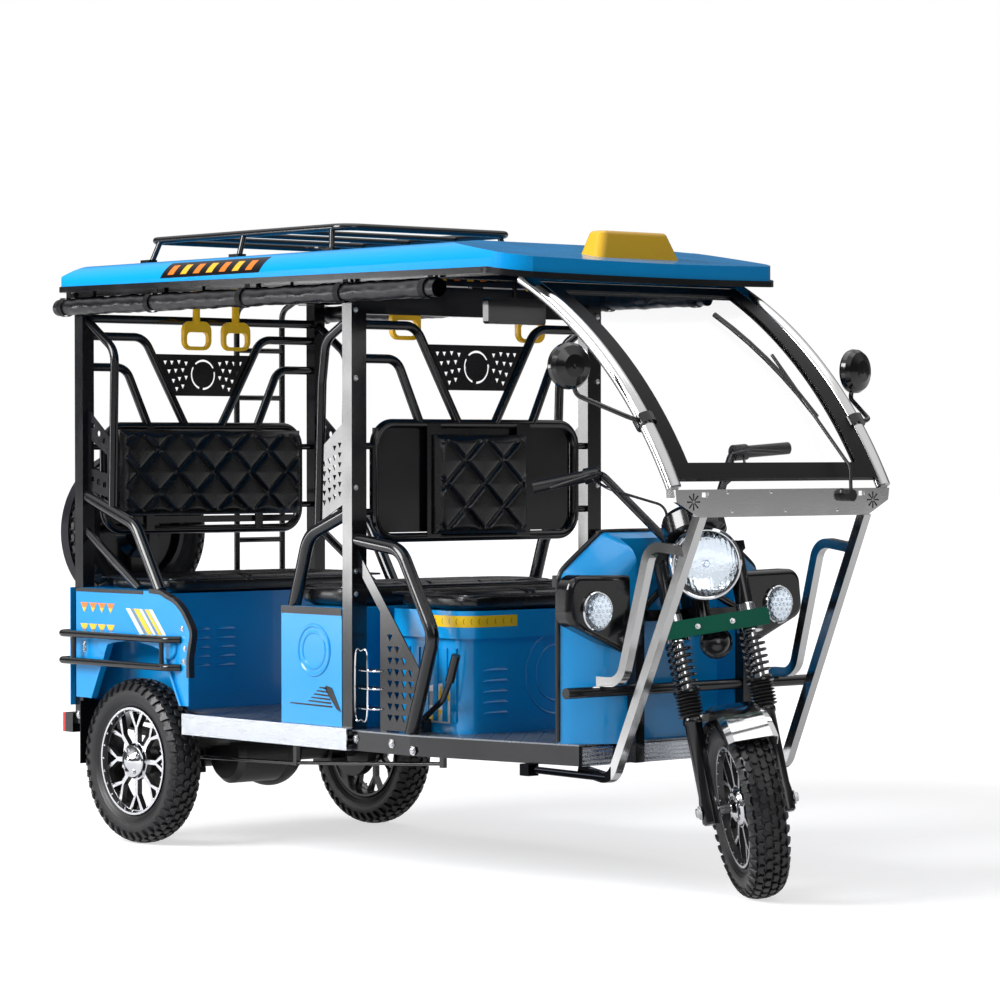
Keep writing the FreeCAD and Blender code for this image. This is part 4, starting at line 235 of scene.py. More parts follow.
def smooth_path(points, count, closed=False):
    """Points on a Catmull-Rom curve through the given ones, evenly shared out."""
    p = np.asarray(points, float)
    p = np.concatenate([p[-1:], p, p[:2]]) if closed else np.concatenate([2 * p[:1] - p[1:2], p,
                                                                        2 * p[-1:] - p[-2:-1]])
    runs = len(p) - 3
    t = np.linspace(0, runs, count, endpoint=not closed)
    k = np.minimum(t.astype(int), runs - 1)
    u = (t - k)[:, None]
    a, b, c, e = p[k], p[k + 1], p[k + 2], p[k + 3]
    return 0.5 * (2 * b + (c - a) * u + (2 * a - 5 * b + 4 * c - e) * u ** 2
                  + (3 * b - a - 3 * c + e) * u ** 3)


def swept(path, radius, sides=10, closed=False, up=(0, 0, 1)):
    """A round section carried along a path, its ends closed by a last ring of no radius."""
    path = np.asarray(path, float)
    if closed:
        along = np.roll(path, -1, 0) - np.roll(path, 1, 0)
    else:
        along = np.gradient(path, axis=0)
    along /= np.linalg.norm(along, axis=1)[:, None]
    side = np.cross(along, up)
    side /= np.linalg.norm(side, axis=1)[:, None]
    other = np.cross(side, along)
    turn = np.arange(sides) * 2 * np.pi / sides
    radius = np.broadcast_to(np.asarray(radius, float), len(path))
    if not closed:
        path = np.concatenate([path[:1], path, path[-1:]])
        side, other = (np.concatenate([v[:1], v, v[-1:]]) for v in (side, other))
        radius = np.concatenate([[0], radius, [0]])
    ring = (np.cos(turn)[None, :, None] * side[:, None] + np.sin(turn)[None, :, None] * other[:, None])
    points = path[:, None] + radius[:, None, None] * ring
    return points, sheet_faces(len(path), sides, closed, True)


def slab(outline, depth):
    """A flat plate: an outline of points pushed along a depth vector."""
    outline = np.asarray(outline, float)
    count = len(outline)
    k = np.arange(count)
    sides = np.stack([k, (k + 1) % count, (k + 1) % count + count, k + count], 1)
    return (np.concatenate([outline, outline + np.asarray(depth, float)]),
            [sides, k[None, ::-1], k[None] + count])


def block(low, high):
    """A box between two opposite corners."""
    (x0, y0, z0), (x1, y1, z1) = low, high
    return slab([(x0, y0, z0), (x1, y0, z0), (x1, y1, z0), (x0, y1, z0)], (0, 0, z1 - z0))


def bolts(places, axis, radius=0.008, height=0.006, sides=6):
    """Bolt heads with a washer under each, all at once: one turned shape copied to places."""
    shape = [(0, 0), (radius * 1.45, 0), (radius * 1.45, height * 0.25), (radius, height * 0.25),
             (radius, height * 0.85), (radius * 0.8, height), (0, height)]
    points, faces = turned(shape, (0, 0, 0), axis, sides)
    flat = points.reshape(-1, 3)
    places = np.asarray(places, float).reshape(-1, 3)
    first = np.arange(len(places)) * len(flat)
    return (places[:, None] + flat[None]).reshape(-1, 3), (faces[None] + first[:, None, None]).reshape(-1, 4)


gloss_black = Finish("gloss_black_coat", COAT_BLACK, 0.17, swing=0.05, grain=260, bump=0.01, dust=0.03,
                     Coat_Weight=0.2, Coat_Roughness=0.05)
bright_zinc = Finish("zinc_fastener", (0.62, 0.63, 0.65, 1), 0.28, grain=900, bump=0.05, Metallic=1.0)
dress(gloss_black, "chassis_frame", "side_frames", "back_frames", "crest_plates", "side_plates",
      "guard_rails", "front_frame",
      "roof_frame", "roof_carrier", "ladder", "spare_carrier", "brake_controls", "handlebar")

RAIL_SIDE = 0.4462
RAIL_BOLTS = np.array([(0.098, -RAIL_SIDE, 0.357), (0.248, -RAIL_SIDE, 0.353), (0.334, -RAIL_SIDE, 0.34),
                       (0.03, -RAIL_SIDE, 0.353), (-1.19, -RAIL_SIDE, 0.352)])
POST_BOLTS = np.array([(0.0817, y, z) for y in (-0.4326, 0.4326) for z in (0.7386, 0.7995, 1.02, 1.31, 1.49)])
other_side = (1, -1, 1)
piece("frame_bolts", [bolts(RAIL_BOLTS, (0, -1, 0), 0.0088, 0.006),
                      bolts(RAIL_BOLTS * other_side, (0, 1, 0), 0.0088, 0.006),
                      bolts(POST_BOLTS, (1, 0, 0), 0.0055, 0.004)],
      bright_zinc, "body")

# Floor: pressed chequer sheet on the rails, silver grey, with short raised bars laid
# at right angles to each other in alternate squares; folded bright sills outside it.
CHEQUER_PITCH = 0.03
floor_metal = Finish("chequer_sheet", (0.26, 0.28, 0.31, 1), 0.34, swing=0.1, grain=160, bump=0.25,
                     dust=0.3, dust_top=0.6, Metallic=0.85)
across = floor_metal.axes()
column = floor_metal.sum("DIVIDE", across["X"], CHEQUER_PITCH)
row = floor_metal.sum("DIVIDE", across["Y"], CHEQUER_PITCH)
in_column = floor_metal.sum("SUBTRACT", floor_metal.sum("FRACT", column), 0.5)
in_row = floor_metal.sum("SUBTRACT", floor_metal.sum("FRACT", row), 0.5)
odd = floor_metal.sum("GREATER_THAN", floor_metal.sum("MODULO", floor_metal.sum("ABSOLUTE", floor_metal.sum(
    "ADD", floor_metal.sum("FLOOR", column), floor_metal.sum("FLOOR", row))), 2.0), 0.5)
diagonal = floor_metal.sum("ADD", in_column, in_row)
counter = floor_metal.sum("SUBTRACT", in_column, in_row)
bar_one = floor_metal.sum("MINIMUM", floor_metal.between(diagonal, -0.14, 0.14, 0.06),
                          floor_metal.between(counter, -0.55, 0.55, 0.1))
bar_two = floor_metal.sum("MINIMUM", floor_metal.between(counter, -0.14, 0.14, 0.06),
                          floor_metal.between(diagonal, -0.55, 0.55, 0.1))
raised = floor_metal.sum("ADD", floor_metal.sum("MULTIPLY", bar_one, odd),
                         floor_metal.sum("MULTIPLY", bar_two, floor_metal.sum("SUBTRACT", 1.0, odd)))
floor_metal.raise_by(raised, 1.4)
floor_metal.mix_into("Roughness", raised, 0.2)
dress(floor_metal, "floor_plate")

bright_sill = Finish("brushed_sill", (0.6, 0.63, 0.68, 1), 0.24, swing=0.08, grain=60, bump=0.12,
                     stretch=(2, 40, 40), dust=0.05, Metallic=1.0)
dress(bright_sill, "sill_trim")
SILL_SIDE = 0.449
SILL_START, SILL_END = -0.6505, 0.0745
ribs = []
for side in (-1, 1):
    for height in (0.331, 0.338, 0.353, 0.368, 0.374):
        path = [(SILL_START, side * SILL_SIDE, height), (SILL_END, side * SILL_SIDE, height)]
        ribs.append(swept(path, 0.0032, 8))
RAIL_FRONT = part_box("chassis_frame")[1].x + 0.0002
for left, right in ((-0.3235, -0.2214), (-0.1107, 0.1107), (0.2214, 0.3235)):
    ribs.append(block((RAIL_FRONT, left, 0.325), (RAIL_FRONT + 0.0012, right, 0.373)))
    for height in (0.329, 0.339, 0.349, 0.359, 0.369):
        ribs.append(swept([(RAIL_FRONT + 0.0012, left, height), (RAIL_FRONT + 0.0012, right, height)], 0.0026, 8))
piece("sill_ribs", ribs, bright_sill, "body")

# Driven axle, brake drums, motor and leaf springs: castings in thin black enamel.
cast_black = Finish("black_enamel_casting", (0.008, 0.008, 0.009, 1), 0.4, swing=0.12, grain=120,
                    bump=0.25, dust=0.12, dust_top=0.6)
plain_case = Finish("battery_case", (0.03, 0.03, 0.035, 1), 0.5, grain=400, bump=0.1)
dress(cast_black, "rear_axle")
dress(plain_case, "battery_pack")

# Tyres: moulded black rubber on a carcass with ringed side walls; the tread is rows of
# separate seven-sided blocks with a row of shoulder lugs that run down the side.
WHEEL_RADIUS = 0.235
TREAD_DEPTH = 0.0075
TREAD_PITCHES = 42
CARCASS = [(31.0, 153.5), (34.0, 158), (36, 164), (40.8, 171), (44.6, 179), (46.6, 188), (46.4, 198),
           (43.8, 208), (38.4, 216), (30, 221.8), (19, 225.6), (8, 227.2), (0, 227.4)]
TREAD_ROWS = (
    (0.0, [(-12, 1), (-4, 4), (5, 1), (13, 5), (10, 15), (0, 18), (-11, 14)]),
    (0.5, [(-13, 20), (-3, 22.5), (8, 18.5), (13.5, 23), (11, 32), (0, 35), (-12, 31)]),
    (0.0, [(-12, 36), (0, 38.5), (12, 35.5), (10, 45), (6.5, 58), (-5.5, 58), (-11, 46)]),
)


def tyre_parts():
    """A tyre about the Y axis at the origin, in metres.

    The carcass is the mirrored profile turned a full circle, with three low rings on
    each wall. A tread block is its outline given by arc round the tyre and by distance
    down from the crown; the foot ring sits just under the carcass, the top ring stands
    one tread depth above it and is drawn in a little.
    """
    half = np.array(CARCASS) / 1000
    half = smooth_path(half, 60)
    rings = sum(0.0007 * np.exp(-(((half[:, 1] - r) / 0.0012) ** 2)) for r in (0.168, 0.176, 0.203))
    wall = half.copy()
    wall[:, 0] += rings
    across = np.concatenate([wall, (wall * (-1, 1))[::-1][1:]])
    profile = np.stack([across[:, 1], across[:, 0]], 1)
    inner = np.array([(0.1535, -0.031), (0.1535, 0.031)])
    carcass = turned(np.concatenate([profile, inner, profile[:1]]), (0, 0, 0), (0, 1, 0), 96)
    crown = half[::-1]
    step = np.linalg.norm(np.diff(crown, axis=0), axis=1)
    down = np.concatenate([[0], np.cumsum(step)])
    lean = np.gradient(crown, axis=0)
    normal = np.stack([-lean[:, 1], lean[:, 0]], 1)
    normal /= np.linalg.norm(normal, axis=1)[:, None]
    parts = [carcass]
    for shift, outline in TREAD_ROWS:
        for side in (-1, 1):
            offset = shift + (0.5 if side > 0 else 0.0)
            corners = np.array(outline, float) / 1000
            middle = corners.mean(0)
            rounds = []
            for grow, lift in ((1.0, -0.001), (1.0, TREAD_DEPTH * 0.75), (0.86, TREAD_DEPTH)):
                at = middle + (corners - middle) * grow
                y = np.interp(at[:, 1], down, crown[:, 0])
                r = np.interp(at[:, 1], down, crown[:, 1])
                n = np.stack([np.interp(at[:, 1], down, normal[:, k]) for k in (0, 1)], 1)
                rounds.append((at[:, 0] / 0.232, y + n[:, 0] * lift, r + n[:, 1] * lift))
            turn = (np.arange(TREAD_PITCHES) + offset) * 2 * np.pi / TREAD_PITCHES
            count = len(corners)
            block = np.stack([np.stack([r * np.sin(turn[:, None] + a), side * y + 0 * turn[:, None],
                                        r * np.cos(turn[:, None] + a)], -1) for a, y, r in rounds], 1)
            k = np.arange(count)
            walls = np.concatenate([np.stack([k + s * count, (k + 1) % count + s * count,
                                              (k + 1) % count + (s + 1) * count, k + (s + 1) * count], 1)
                                    for s in (0, 1)])
            first = np.arange(TREAD_PITCHES)[:, None, None] * 3 * count
            top = (2 * count + k)[None, None] + first
            parts.append((block.reshape(-1, 3), [(walls[None] + first).reshape(-1, 4),
                                                 top.reshape(-1, count)]))
    return parts


def moved(parts, place):
    """The same parts carried by a 4 x 4 placement."""
    place = np.array(place, float)
    return [(np.asarray(points, float).reshape(-1, 3) @ place[:3, :3].T + place[:3, 3], faces)
            for points, faces in parts]


RAKE, STEER = math.radians(16), math.radians(32)
HEAD = (1.1485, 0, 0)
fork_place = (Matrix.Translation(HEAD) @ Matrix.Rotation(-RAKE, 4, "Y") @ Matrix.Rotation(-STEER, 4, "Z"))
FORK_OUT = 0.085
AXLE_UP = 0.22171
front_wheel_place = fork_place @ Matrix.Translation((FORK_OUT, 0, AXLE_UP))
rear_right_place = Matrix.Translation((AXLE_X, -0.421, WHEEL_RADIUS))
rear_left_place = Matrix.Translation((AXLE_X, 0.421, WHEEL_RADIUS))
spare_place = Matrix.Translation((-1.3035, -0.163, 0.88)) @ Matrix.Rotation(math.radians(90), 4, "Z")

rubber = Finish("tyre_rubber", (0.0055, 0.006, 0.007, 1), 0.42, swing=0.08, grain=500, bump=0.08, dust=0.02,
                dust_top=0.3)
tyre_shape = tyre_parts()
for name, place, body in (("front_tyre", front_wheel_place, "front_wheel"),
                          ("rear_tyre_right", rear_right_place, "rear_wheel_right"),
                          ("rear_tyre_left", rear_left_place, "rear_wheel_left"),
                          ("spare_tyre", spare_place, "body")):
    tread = piece(name + "_tread", moved(tyre_shape, place), rubber, body)
    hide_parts(name)

# Alloy wheels: cast, painted gloss black, then the outer faces of the forked spokes and
# the rim's lip machined bright in fine rings; domed chrome cap held by four bolts.


def alloy_finish(name, centre, outward):
    """Black casting whose faces that look outwards are turned bright.

    The bright mask is the normal's share along the axle; the fine rings are a sine of
    the distance from the axle.
    """
    finish = Finish(name, (0.012, 0.012, 0.014, 1), 0.22, grain=300, bump=0.03, Coat_Weight=0.3)
    facing = add_node(finish.tree, "ShaderNodeVectorMath", {0: finish.place.outputs["Normal"], 1: outward},
                      operation="DOT_PRODUCT")
    mask = finish.between(facing.outputs["Value"], 0.82, 2.0, 0.06)
    offset = add_node(finish.tree, "ShaderNodeVectorMath", {0: finish.place.outputs["Object"], 1: centre},
                      operation="SUBTRACT")
    crossed = add_node(finish.tree, "ShaderNodeVectorMath", {0: offset.outputs[0], 1: outward},
                       operation="CROSS_PRODUCT")
    reach = add_node(finish.tree, "ShaderNodeVectorMath", {0: crossed.outputs[0]}, operation="LENGTH")
    rings = finish.sum("SINE", finish.sum("MULTIPLY", reach.outputs["Value"], 5200.0))
    finish.raise_by(finish.sum("MULTIPLY", rings, mask), 0.5)
    finish.paint_over(mask, (0.78, 0.79, 0.82, 1))
    finish.mix_into("Metallic", mask, 1.0)
    finish.mix_into("Roughness", mask, 0.22)
    return finish


chrome = Finish("polished_chrome", (0.74, 0.75, 0.78, 1), 0.06, swing=0.03, grain=500, bump=0.01, dust=0.03,
                Metallic=1.0)
for name, place, body, side in (("front_rim", front_wheel_place, "front_wheel", -1),
                                ("rear_rim_right", rear_right_place, "rear_wheel_right", -1),
                                ("rear_rim_left", rear_left_place, "rear_wheel_left", 1)):
    out = (place.to_3x3() @ Vector((0, side, 0))).normalized()
    dress(alloy_finish(name + "_metal", place.translation, out), name)
    reach = 0.037 if name == "front_rim" else 0.046
    cap = [(0, reach + 0.009), (0.012, reach + 0.0085), (0.021, reach + 0.005), (0.028, reach - 0.003),
           (0.046, reach - 0.008), (0.05, reach - 0.014), (0.05, reach - 0.03)]
    cap = [(0, reach - 0.03)] + cap[::-1]
    angle = np.arange(4) * np.pi / 2 + 0.5
    heads = np.stack([0.034 * np.cos(angle), np.full(4, side * (reach - 0.005)), 0.034 * np.sin(angle)], 1)
    parts = [turned(cap, (0, 0, 0), (0, side, 0), 40), bolts(heads, (0, side, 0), 0.0055, 0.006)]
    piece(name + "_cap", moved(parts, place), chrome, body)
    rivets = np.arange(24) * np.pi / 12
    ring = np.stack([0.1435 * np.cos(rivets), np.full(24, side * 0.034), 0.1435 * np.sin(rivets)], 1)
    piece(name + "_rivets", moved([bolts(ring, (0, side, 0), 0.0022, 0.003, 8)], place), chrome, body)

# Fork: gloss black sliders and yokes, ribbed rubber boots, black coil springs over
# chrome tubes, bright collars under the lamp ears. Turned and swept about each leg.
LEG_HALF = 0.095
SPRING_BASE, SPRING_TOP = 0.528, 0.652
SPRING_RADIUS, SPRING_WIRE, SPRING_TURNS = 0.0292, 0.0036, 7
LOWER_YOKE, UPPER_YOKE, YOKE_HALF = 0.69, 0.872, 0.011


def on_fork(parts):
    """Parts given in the fork's own directions, carried to its turned and raked place."""
    return moved(parts, fork_place)


legs, stanchions, springs, collars, boots = [], [], [], [], []
for side in (-1, 1):
    at = (FORK_OUT, side * LEG_HALF, 0)
    slider = [(0, 0.188), (0.02, 0.188), (0.025, 0.193), (0.025, 0.243), (0.0222, 0.262), (0.0222, 0.44),
              (0.0252, 0.446), (0.0252, 0.454), (0.0222, 0.46), (0.0222, 0.47), (0, 0.47)]
    legs.append(turned(slider, at, (0, 0, 1), 36))
    legs.append(turned([(0, SPRING_BASE - 0.006), (0.035, SPRING_BASE - 0.006), (0.035, SPRING_BASE),
                        (0, SPRING_BASE)], at, (0, 0, 1), 36))
    stanchions.append(turned([(0, 0.5), (0.0158, 0.5), (0.0158, 0.884), (0.012, 0.888), (0, 0.888)], at,
                             (0, 0, 1), 36))
    height = np.linspace(0.462, SPRING_BASE - 0.004, 90)
    ripple = 0.0285 + 0.0045 * np.sin((height - 0.462) * 2 * np.pi / 0.0088)
    boot = np.stack([np.r_[0, ripple, 0], np.r_[0.462, height, SPRING_BASE - 0.004]], 1)
    boots.append(turned(boot, at, (0, 0, 1), 36))
    turn = np.linspace(0, SPRING_TURNS * 2 * np.pi, SPRING_TURNS * 28)
    rise = np.linspace(SPRING_BASE + SPRING_WIRE, SPRING_TOP - SPRING_WIRE, len(turn))
    coil = np.stack([at[0] + SPRING_RADIUS * np.cos(turn), at[1] + SPRING_RADIUS * np.sin(turn), rise], 1)
    springs.append(swept(coil, SPRING_WIRE, 8))
    collars.append(turned([(0, SPRING_TOP), (0.0325, SPRING_TOP), (0.0325, 0.662), (0.026, 0.668),
                           (0.026, 0.679), (0, 0.679)], at, (0, 0, 1), 36))
    collars.append(turned([(0, 0.702), (0.0245, 0.702), (0.0245, 0.722), (0.022, 0.725), (0, 0.725)], at,
                          (0, 0, 1), 36))
    legs.append(turned([(0, 0.724), (0.0225, 0.724), (0.0225, 0.86), (0, 0.86)], at, (0, 0, 1), 36))
    ear = [(FORK_OUT, side * LEG_HALF - 0.003, 0.801), (0.138, side * LEG_HALF - 0.003, 0.806),
           (0.142, side * LEG_HALF - 0.003, 0.831), (0.138, side * LEG_HALF - 0.003, 0.857),
           (FORK_OUT, side * LEG_HALF - 0.003, 0.857)]
    legs.append(slab(ear, (0, 0.006, 0)))
for height in (LOWER_YOKE, UPPER_YOKE):
    low = height - YOKE_HALF
    plan = [(-0.028, -0.02), (-0.028, 0.02), (-0.01, 0.035), (FORK_OUT - 0.01, LEG_HALF + 0.026),
            (FORK_OUT + 0.02, LEG_HALF + 0.026), (FORK_OUT + 0.03, LEG_HALF), (FORK_OUT + 0.024, 0.04),
            (FORK_OUT + 0.008, 0), (FORK_OUT + 0.024, -0.04), (FORK_OUT + 0.03, -LEG_HALF),
            (FORK_OUT + 0.02, -LEG_HALF - 0.026), (FORK_OUT - 0.01, -LEG_HALF - 0.026), (-0.01, -0.035)]
    legs.append(slab([(x, y, low) for x, y in plan], (0, 0, 2 * YOKE_HALF)))
legs.append(turned([(0, LOWER_YOKE), (0.0148, LOWER_YOKE), (0.0148, 0.896), (0, 0.896)], (0, 0, 0),
                   (0, 0, 1), 28))
legs.append(block((0.104, -0.02, 0.668), (0.1279, 0.02, 0.69)))
HORN = (0.1, 0, 0.637)
legs.append(turned([(0, -0.02), (0.036, -0.02), (0.041, -0.012), (0.041, 0.006), (0.037, 0.01), (0.034, 0.006),
                    (0.02, 0.008), (0.014, 0.013), (0, 0.014)], HORN, (1, 0, 0.1), 36))
legs.append(block((0.066, -0.012, 0.64), (0.09, 0.012, 0.69)))
fork_body = piece("fork_castings", on_fork(legs), gloss_black, "steering")
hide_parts("fork")
boot_rubber = Finish("moulded_rubber", (0.012, 0.012, 0.013, 1), 0.42, grain=400, bump=0.06)
piece("fork_boots", on_fork(boots), boot_rubber, "steering")
piece("fork_springs", on_fork(springs), gloss_black, "steering")
piece("fork_tubes", on_fork(stanchions + collars), chrome, "steering")
axle_shape = [(0, -0.127), (0.008, -0.127), (0.008, 0.127), (0, 0.127)]
nuts = [bolts([(FORK_OUT, s * 0.1205, AXLE_UP)], (0, s, 0), 0.0135, 0.011) for s in (-1, 1)]
spacers = [turned([(0, 0.046), (0.0125, 0.046), (0.0125, 0.0725), (0, 0.0725)], (FORK_OUT, 0, AXLE_UP),
                  (0, s, 0), 24) for s in (-1, 1)]
piece("front_axle", on_fork([turned(axle_shape, (FORK_OUT, 0, AXLE_UP), (0, 1, 0), 20)] + nuts
                            + spacers), bright_zinc, "steering")

# Front mudguard: pressed polished steel with a plain oval ring stamped in its front.
polished = Finish("polished_steel", (0.6, 0.6, 0.6, 1), 0.13, swing=0.05, grain=160, bump=0.008,
                  dust=0.04, Metallic=1.0)
steel_axes = polished.axes()
low_bar = polished.sum("MULTIPLY", polished.between(steel_axes["Z"], -1.0, 0.33),
                       polished.between(steel_axes["X"], -5.0, 0.95))
polished.paint_over(low_bar, COAT_BLACK)
dress(polished, "front_mudguard", "crash_guard", "windscreen_frame")

# Handlebar grips, switch boxes and levers, headlamp bowl and instrument drum.
moulded = Finish("moulded_black", (0.006, 0.006, 0.007, 1), 0.36, swing=0.06, grain=700, bump=0.12)
lamp_gloss = Finish("lamp_gloss", (0.004, 0.004, 0.005, 1), 0.14, grain=300, bump=0.01, dust=0.02,
                    Coat_Weight=0.3)
dress(moulded, "hand_controls", "wiper", "dash_panel")
dress(lamp_gloss, "headlamp", "mirrors", "lamp_pods", "control_cables")

# Headlamp: a thin chrome rim, a bright faceted dish and a clear lens with upright flutes.
LAMP_UP, LAMP_OUT = 0.831, 0.15
LAMP_AXIS = (math.cos(RAKE), 0, -math.sin(RAKE))
LAMP_AT = (LAMP_OUT, 0, LAMP_UP)
rim = [(0.083, 0.0165), (0.086, 0.0175), (0.0905, 0.0155), (0.0937, 0.009), (0.0937, -0.006), (0.0931, -0.006),
       (0.0931, 0.008), (0.083, 0.012)]
piece("headlamp_rim", on_fork([turned(rim + rim[:1], LAMP_AT, LAMP_AXIS, 72)]), chrome, "steering")
dish_metal = Finish("lamp_dish", (0.7, 0.76, 0.82, 1), 0.09, grain=90, bump=0.3, dust=0.0, Metallic=1.0)
dish = [(0, 0.0045), (0.02, 0.0035), (0.05, 0.005), (0.07, 0.0085), (0.0808, 0.0115), (0.0808, 0.0025),
        (0, 0.0025)]
bulb = [(0, 0.0175), (0.006, 0.0165), (0.0095, 0.012), (0.0095, 0.004), (0, 0.004)]
piece("headlamp_dish", on_fork([turned(dish, LAMP_AT, LAMP_AXIS, 72),
                                turned(bulb, LAMP_AT, LAMP_AXIS, 24)]), dish_metal, "steering")


def lens_points(rings=34, sides=144):
    """The lens as a dome whose height has a flute wave across it.

    The dome is a circle's cap; the wave is a cosine of the sideways distance, split by
    a level band, and fades to nothing at the edge.
    """
    radius = np.linspace(0, 0.0822, rings)[:, None]
    turn = np.arange(sides)[None] * 2 * np.pi / sides
    dome = 0.0248 - 0.0118 * (radius / 0.0822) ** 2
    across, up = radius * np.cos(turn), radius * np.sin(turn)
    fade = np.clip((0.0822 - radius) / 0.006, 0, 1)
    wave = np.where(np.abs(up) < 0.022, np.cos(across * 2 * np.pi / 0.009), np.cos(across * 2 * np.pi / 0.013))
    height = dome + 0.00055 * fade * wave
    level, side, above = np.array(LAMP_AXIS), np.array((0, 1, 0)), np.array((math.sin(RAKE), 0, math.cos(RAKE)))
    points = (np.array(LAMP_AT) + height[..., None] * level + across[..., None] * side + up[..., None] * above)
    return points, sheet_faces(rings, sides, wrap_columns=True)


clear = Finish("clear_moulding", (0.95, 0.97, 1.0, 1), 0.03, swing=0.01, grain=300, bump=0.0, dust=0.0,
               IOR=1.45, Transmission_Weight=1.0)
lens = piece("headlamp_glass", on_fork([lens_points()]), clear, "steering")
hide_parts("headlamp_lens")

# Number plate: blank green enamelled strip held by two bolts.
plate_green = Finish("green_enamel", (0.0, 0.085, 0.05, 1), 0.45, grain=250, bump=0.05, dust=0.0,
                     Specular_IOR_Level=0.15)
dress(plate_green, "number_plate")
piece("plate_bolts", on_fork([bolts([(0.1313, s * 0.045, 0.679) for s in (-1, 1)], (1, 0, 0),
                                    0.005, 0.003)]), bright_zinc, "steering")

# Body sides, seat boxes and leg shield: pressed sheet in light blue two-pack paint.
BLUE = (0.002, 0.29, 0.7, 1)
blue = Finish("light_blue_paint", BLUE, 0.22, swing=0.05, grain=180, bump=0.012, dust=0.04, dust_top=0.55,
              Coat_Weight=0.3, Coat_Roughness=0.05)
dress(blue, "rear_seat_base", "bench_box", "bench_sides", "driver_seat_box", "leg_shield", "side_panels")
dress(gloss_black, "partition_panel")

PANEL_SIDE = 0.4664
trim_rubber = Finish("edge_rubber", (0.012, 0.012, 0.014, 1), 0.3, grain=300, bump=0.03)
EDGE = [(-0.8105, 0.7225), (-0.76, 0.7195), (-0.7305, 0.71), (-0.69, 0.696), (-0.6545, 0.672), (-0.627, 0.64),
        (-0.6105, 0.612), (-0.6165, 0.575), (-0.6245, 0.54), (-0.6245, 0.485)]
edge_strips = []
for side in (-1, 1):
    path = smooth_path([(x, side * 0.4585, z) for x, z in EDGE], 60)
    ring_u, ring_v = np.array([1, 1, -1, -1]) * 0.0125, np.array([1, -1, -1, 1]) * 0.0095
    along = np.gradient(path, axis=0)
    along /= np.linalg.norm(along, axis=1)[:, None]
    out = np.stack([along[:, 2], along[:, 1] * 0, -along[:, 0]], 1) * -1
    across_y = np.array((0, 1, 0))
    ring = (path[:, None] + ring_u[None, :, None] * out[:, None] * 0.5 + ring_v[None, :, None] * across_y)
    caps = [np.array([[0, 1, 2, 3]]), np.array([[3, 2, 1, 0]]) + 4 * (len(path) - 1)]
    edge_strips.append((ring.reshape(-1, 3), [sheet_faces(len(path), 4, wrap_columns=True)] + caps))
for start, end, low, high, out in ((-0.2245, 0.0375, 0.68, 0.7, 0.4462), (-1.1745, -0.84, 0.712, 0.722, 0.4662)):
    for side in (-1, 1):
        edge_strips.append(block((start, side * out, low), (end, side * (out + 0.0014), high)))
piece("panel_edge_strips", edge_strips, trim_rubber, "body")
PANEL_BOLTS = [(x, -PANEL_SIDE + 0.0004, z) for x, z in ((-0.652, 0.622), (-0.64, 0.566), (-1.13, 0.56),
                                                        (-1.13, 0.545), (-0.645, 0.53))]
piece("panel_bolts", [bolts(PANEL_BOLTS, (0, -1, 0), 0.006, 0.004),
                      bolts([(x, -y, z) for x, y, z in PANEL_BOLTS], (0, 1, 0), 0.006, 0.004)],
      bright_zinc, "body")


def chip(corners, side, lift=0.0006):
    """A flat film patch on a body side: corners (x, z) at the panel's face."""
    return slab([(x, side * (PANEL_SIDE - 0.0005), z) for x, z in corners], (0, side * lift, 0))


film_white = Finish("film_white", (0.82, 0.83, 0.84, 1), 0.25, grain=200, bump=0.01)
film_yellow = Finish("film_yellow", (0.87, 0.55, 0.02, 1), 0.28, grain=200, bump=0.01)
film_orange = Finish("film_orange", (0.8, 0.22, 0.03, 1), 0.28, grain=200, bump=0.01)
film_grey = Finish("film_grey", (0.2, 0.22, 0.25, 1), 0.3, grain=200, bump=0.01)
films = {"white": [], "yellow": [], "orange": [], "grey": []}
BAND = (("white", 0.0, 0.02), ("grey", 0.024, 0.034), ("yellow", 0.038, 0.062), ("white", 0.066, 0.078),
        ("grey", 0.082, 0.088), ("yellow", 0.092, 0.108), ("white", 0.112, 0.128))
for side in (-1, 1):
    for colour, start, end in BAND:
        foot, head = -0.846, -0.9245
        films[colour].append(chip([(foot + start, 0.588), (foot + end, 0.588), (head + end, 0.67),
                                   (head + start, 0.67)], side))
    for row, (top, low, first, second) in enumerate(((0.681, 0.657, "orange", "yellow"),
                                                     (0.62, 0.594, "yellow", "grey"))):
        for k in range(4):
            x = -1.152 + k * 0.044
            mid = (top + low) / 2
            films[first].append(chip([(x, top), (x + 0.04, top), (x + 0.02, low)], side))
            films[second].append(chip([(x + 0.01, mid - 0.002), (x + 0.03, mid - 0.002), (x + 0.02, low - 0.004)],
                                      side, 0.0009))
for name, finish in (("white", film_white), ("yellow", film_yellow), ("orange", film_orange),
                     ("grey", film_grey)):
    piece("side_film_" + name, films[name], finish, "body", smooth=False)

# Bench end louvre: six thin pressed slots that fan into a black triangle.
LOUVRE_SIDE = 0.4463
fan = []
for side in (-1, 1):
    fan.append(slab([(x - 0.9085, side * LOUVRE_SIDE, z) for x, z in
                     ((0.926, 0.430), (0.944, 0.424), (0.905, 0.486), (0.880, 0.492), (0.874, 0.484))],
                    (0, side * 0.0012, 0)))
    for k in range(6):
        left = 0.79 + 0.012 * k if k else 0.722
        low = 0.437 + 0.0095 * k
        fan.append(slab([(left - 0.9085, side * LOUVRE_SIDE, low), (0.905 - 0.004 * k - 0.9085,
                        side * LOUVRE_SIDE, low - 0.003), (0.905 - 0.004 * k - 0.9085, side * LOUVRE_SIDE,
                        low + 0.0015), (left + 0.004 - 0.9085, side * LOUVRE_SIDE, low + 0.003)],
                        (0, side * 0.0012, 0)))
piece("bench_louvres", fan, moulded, "body", smooth=False)

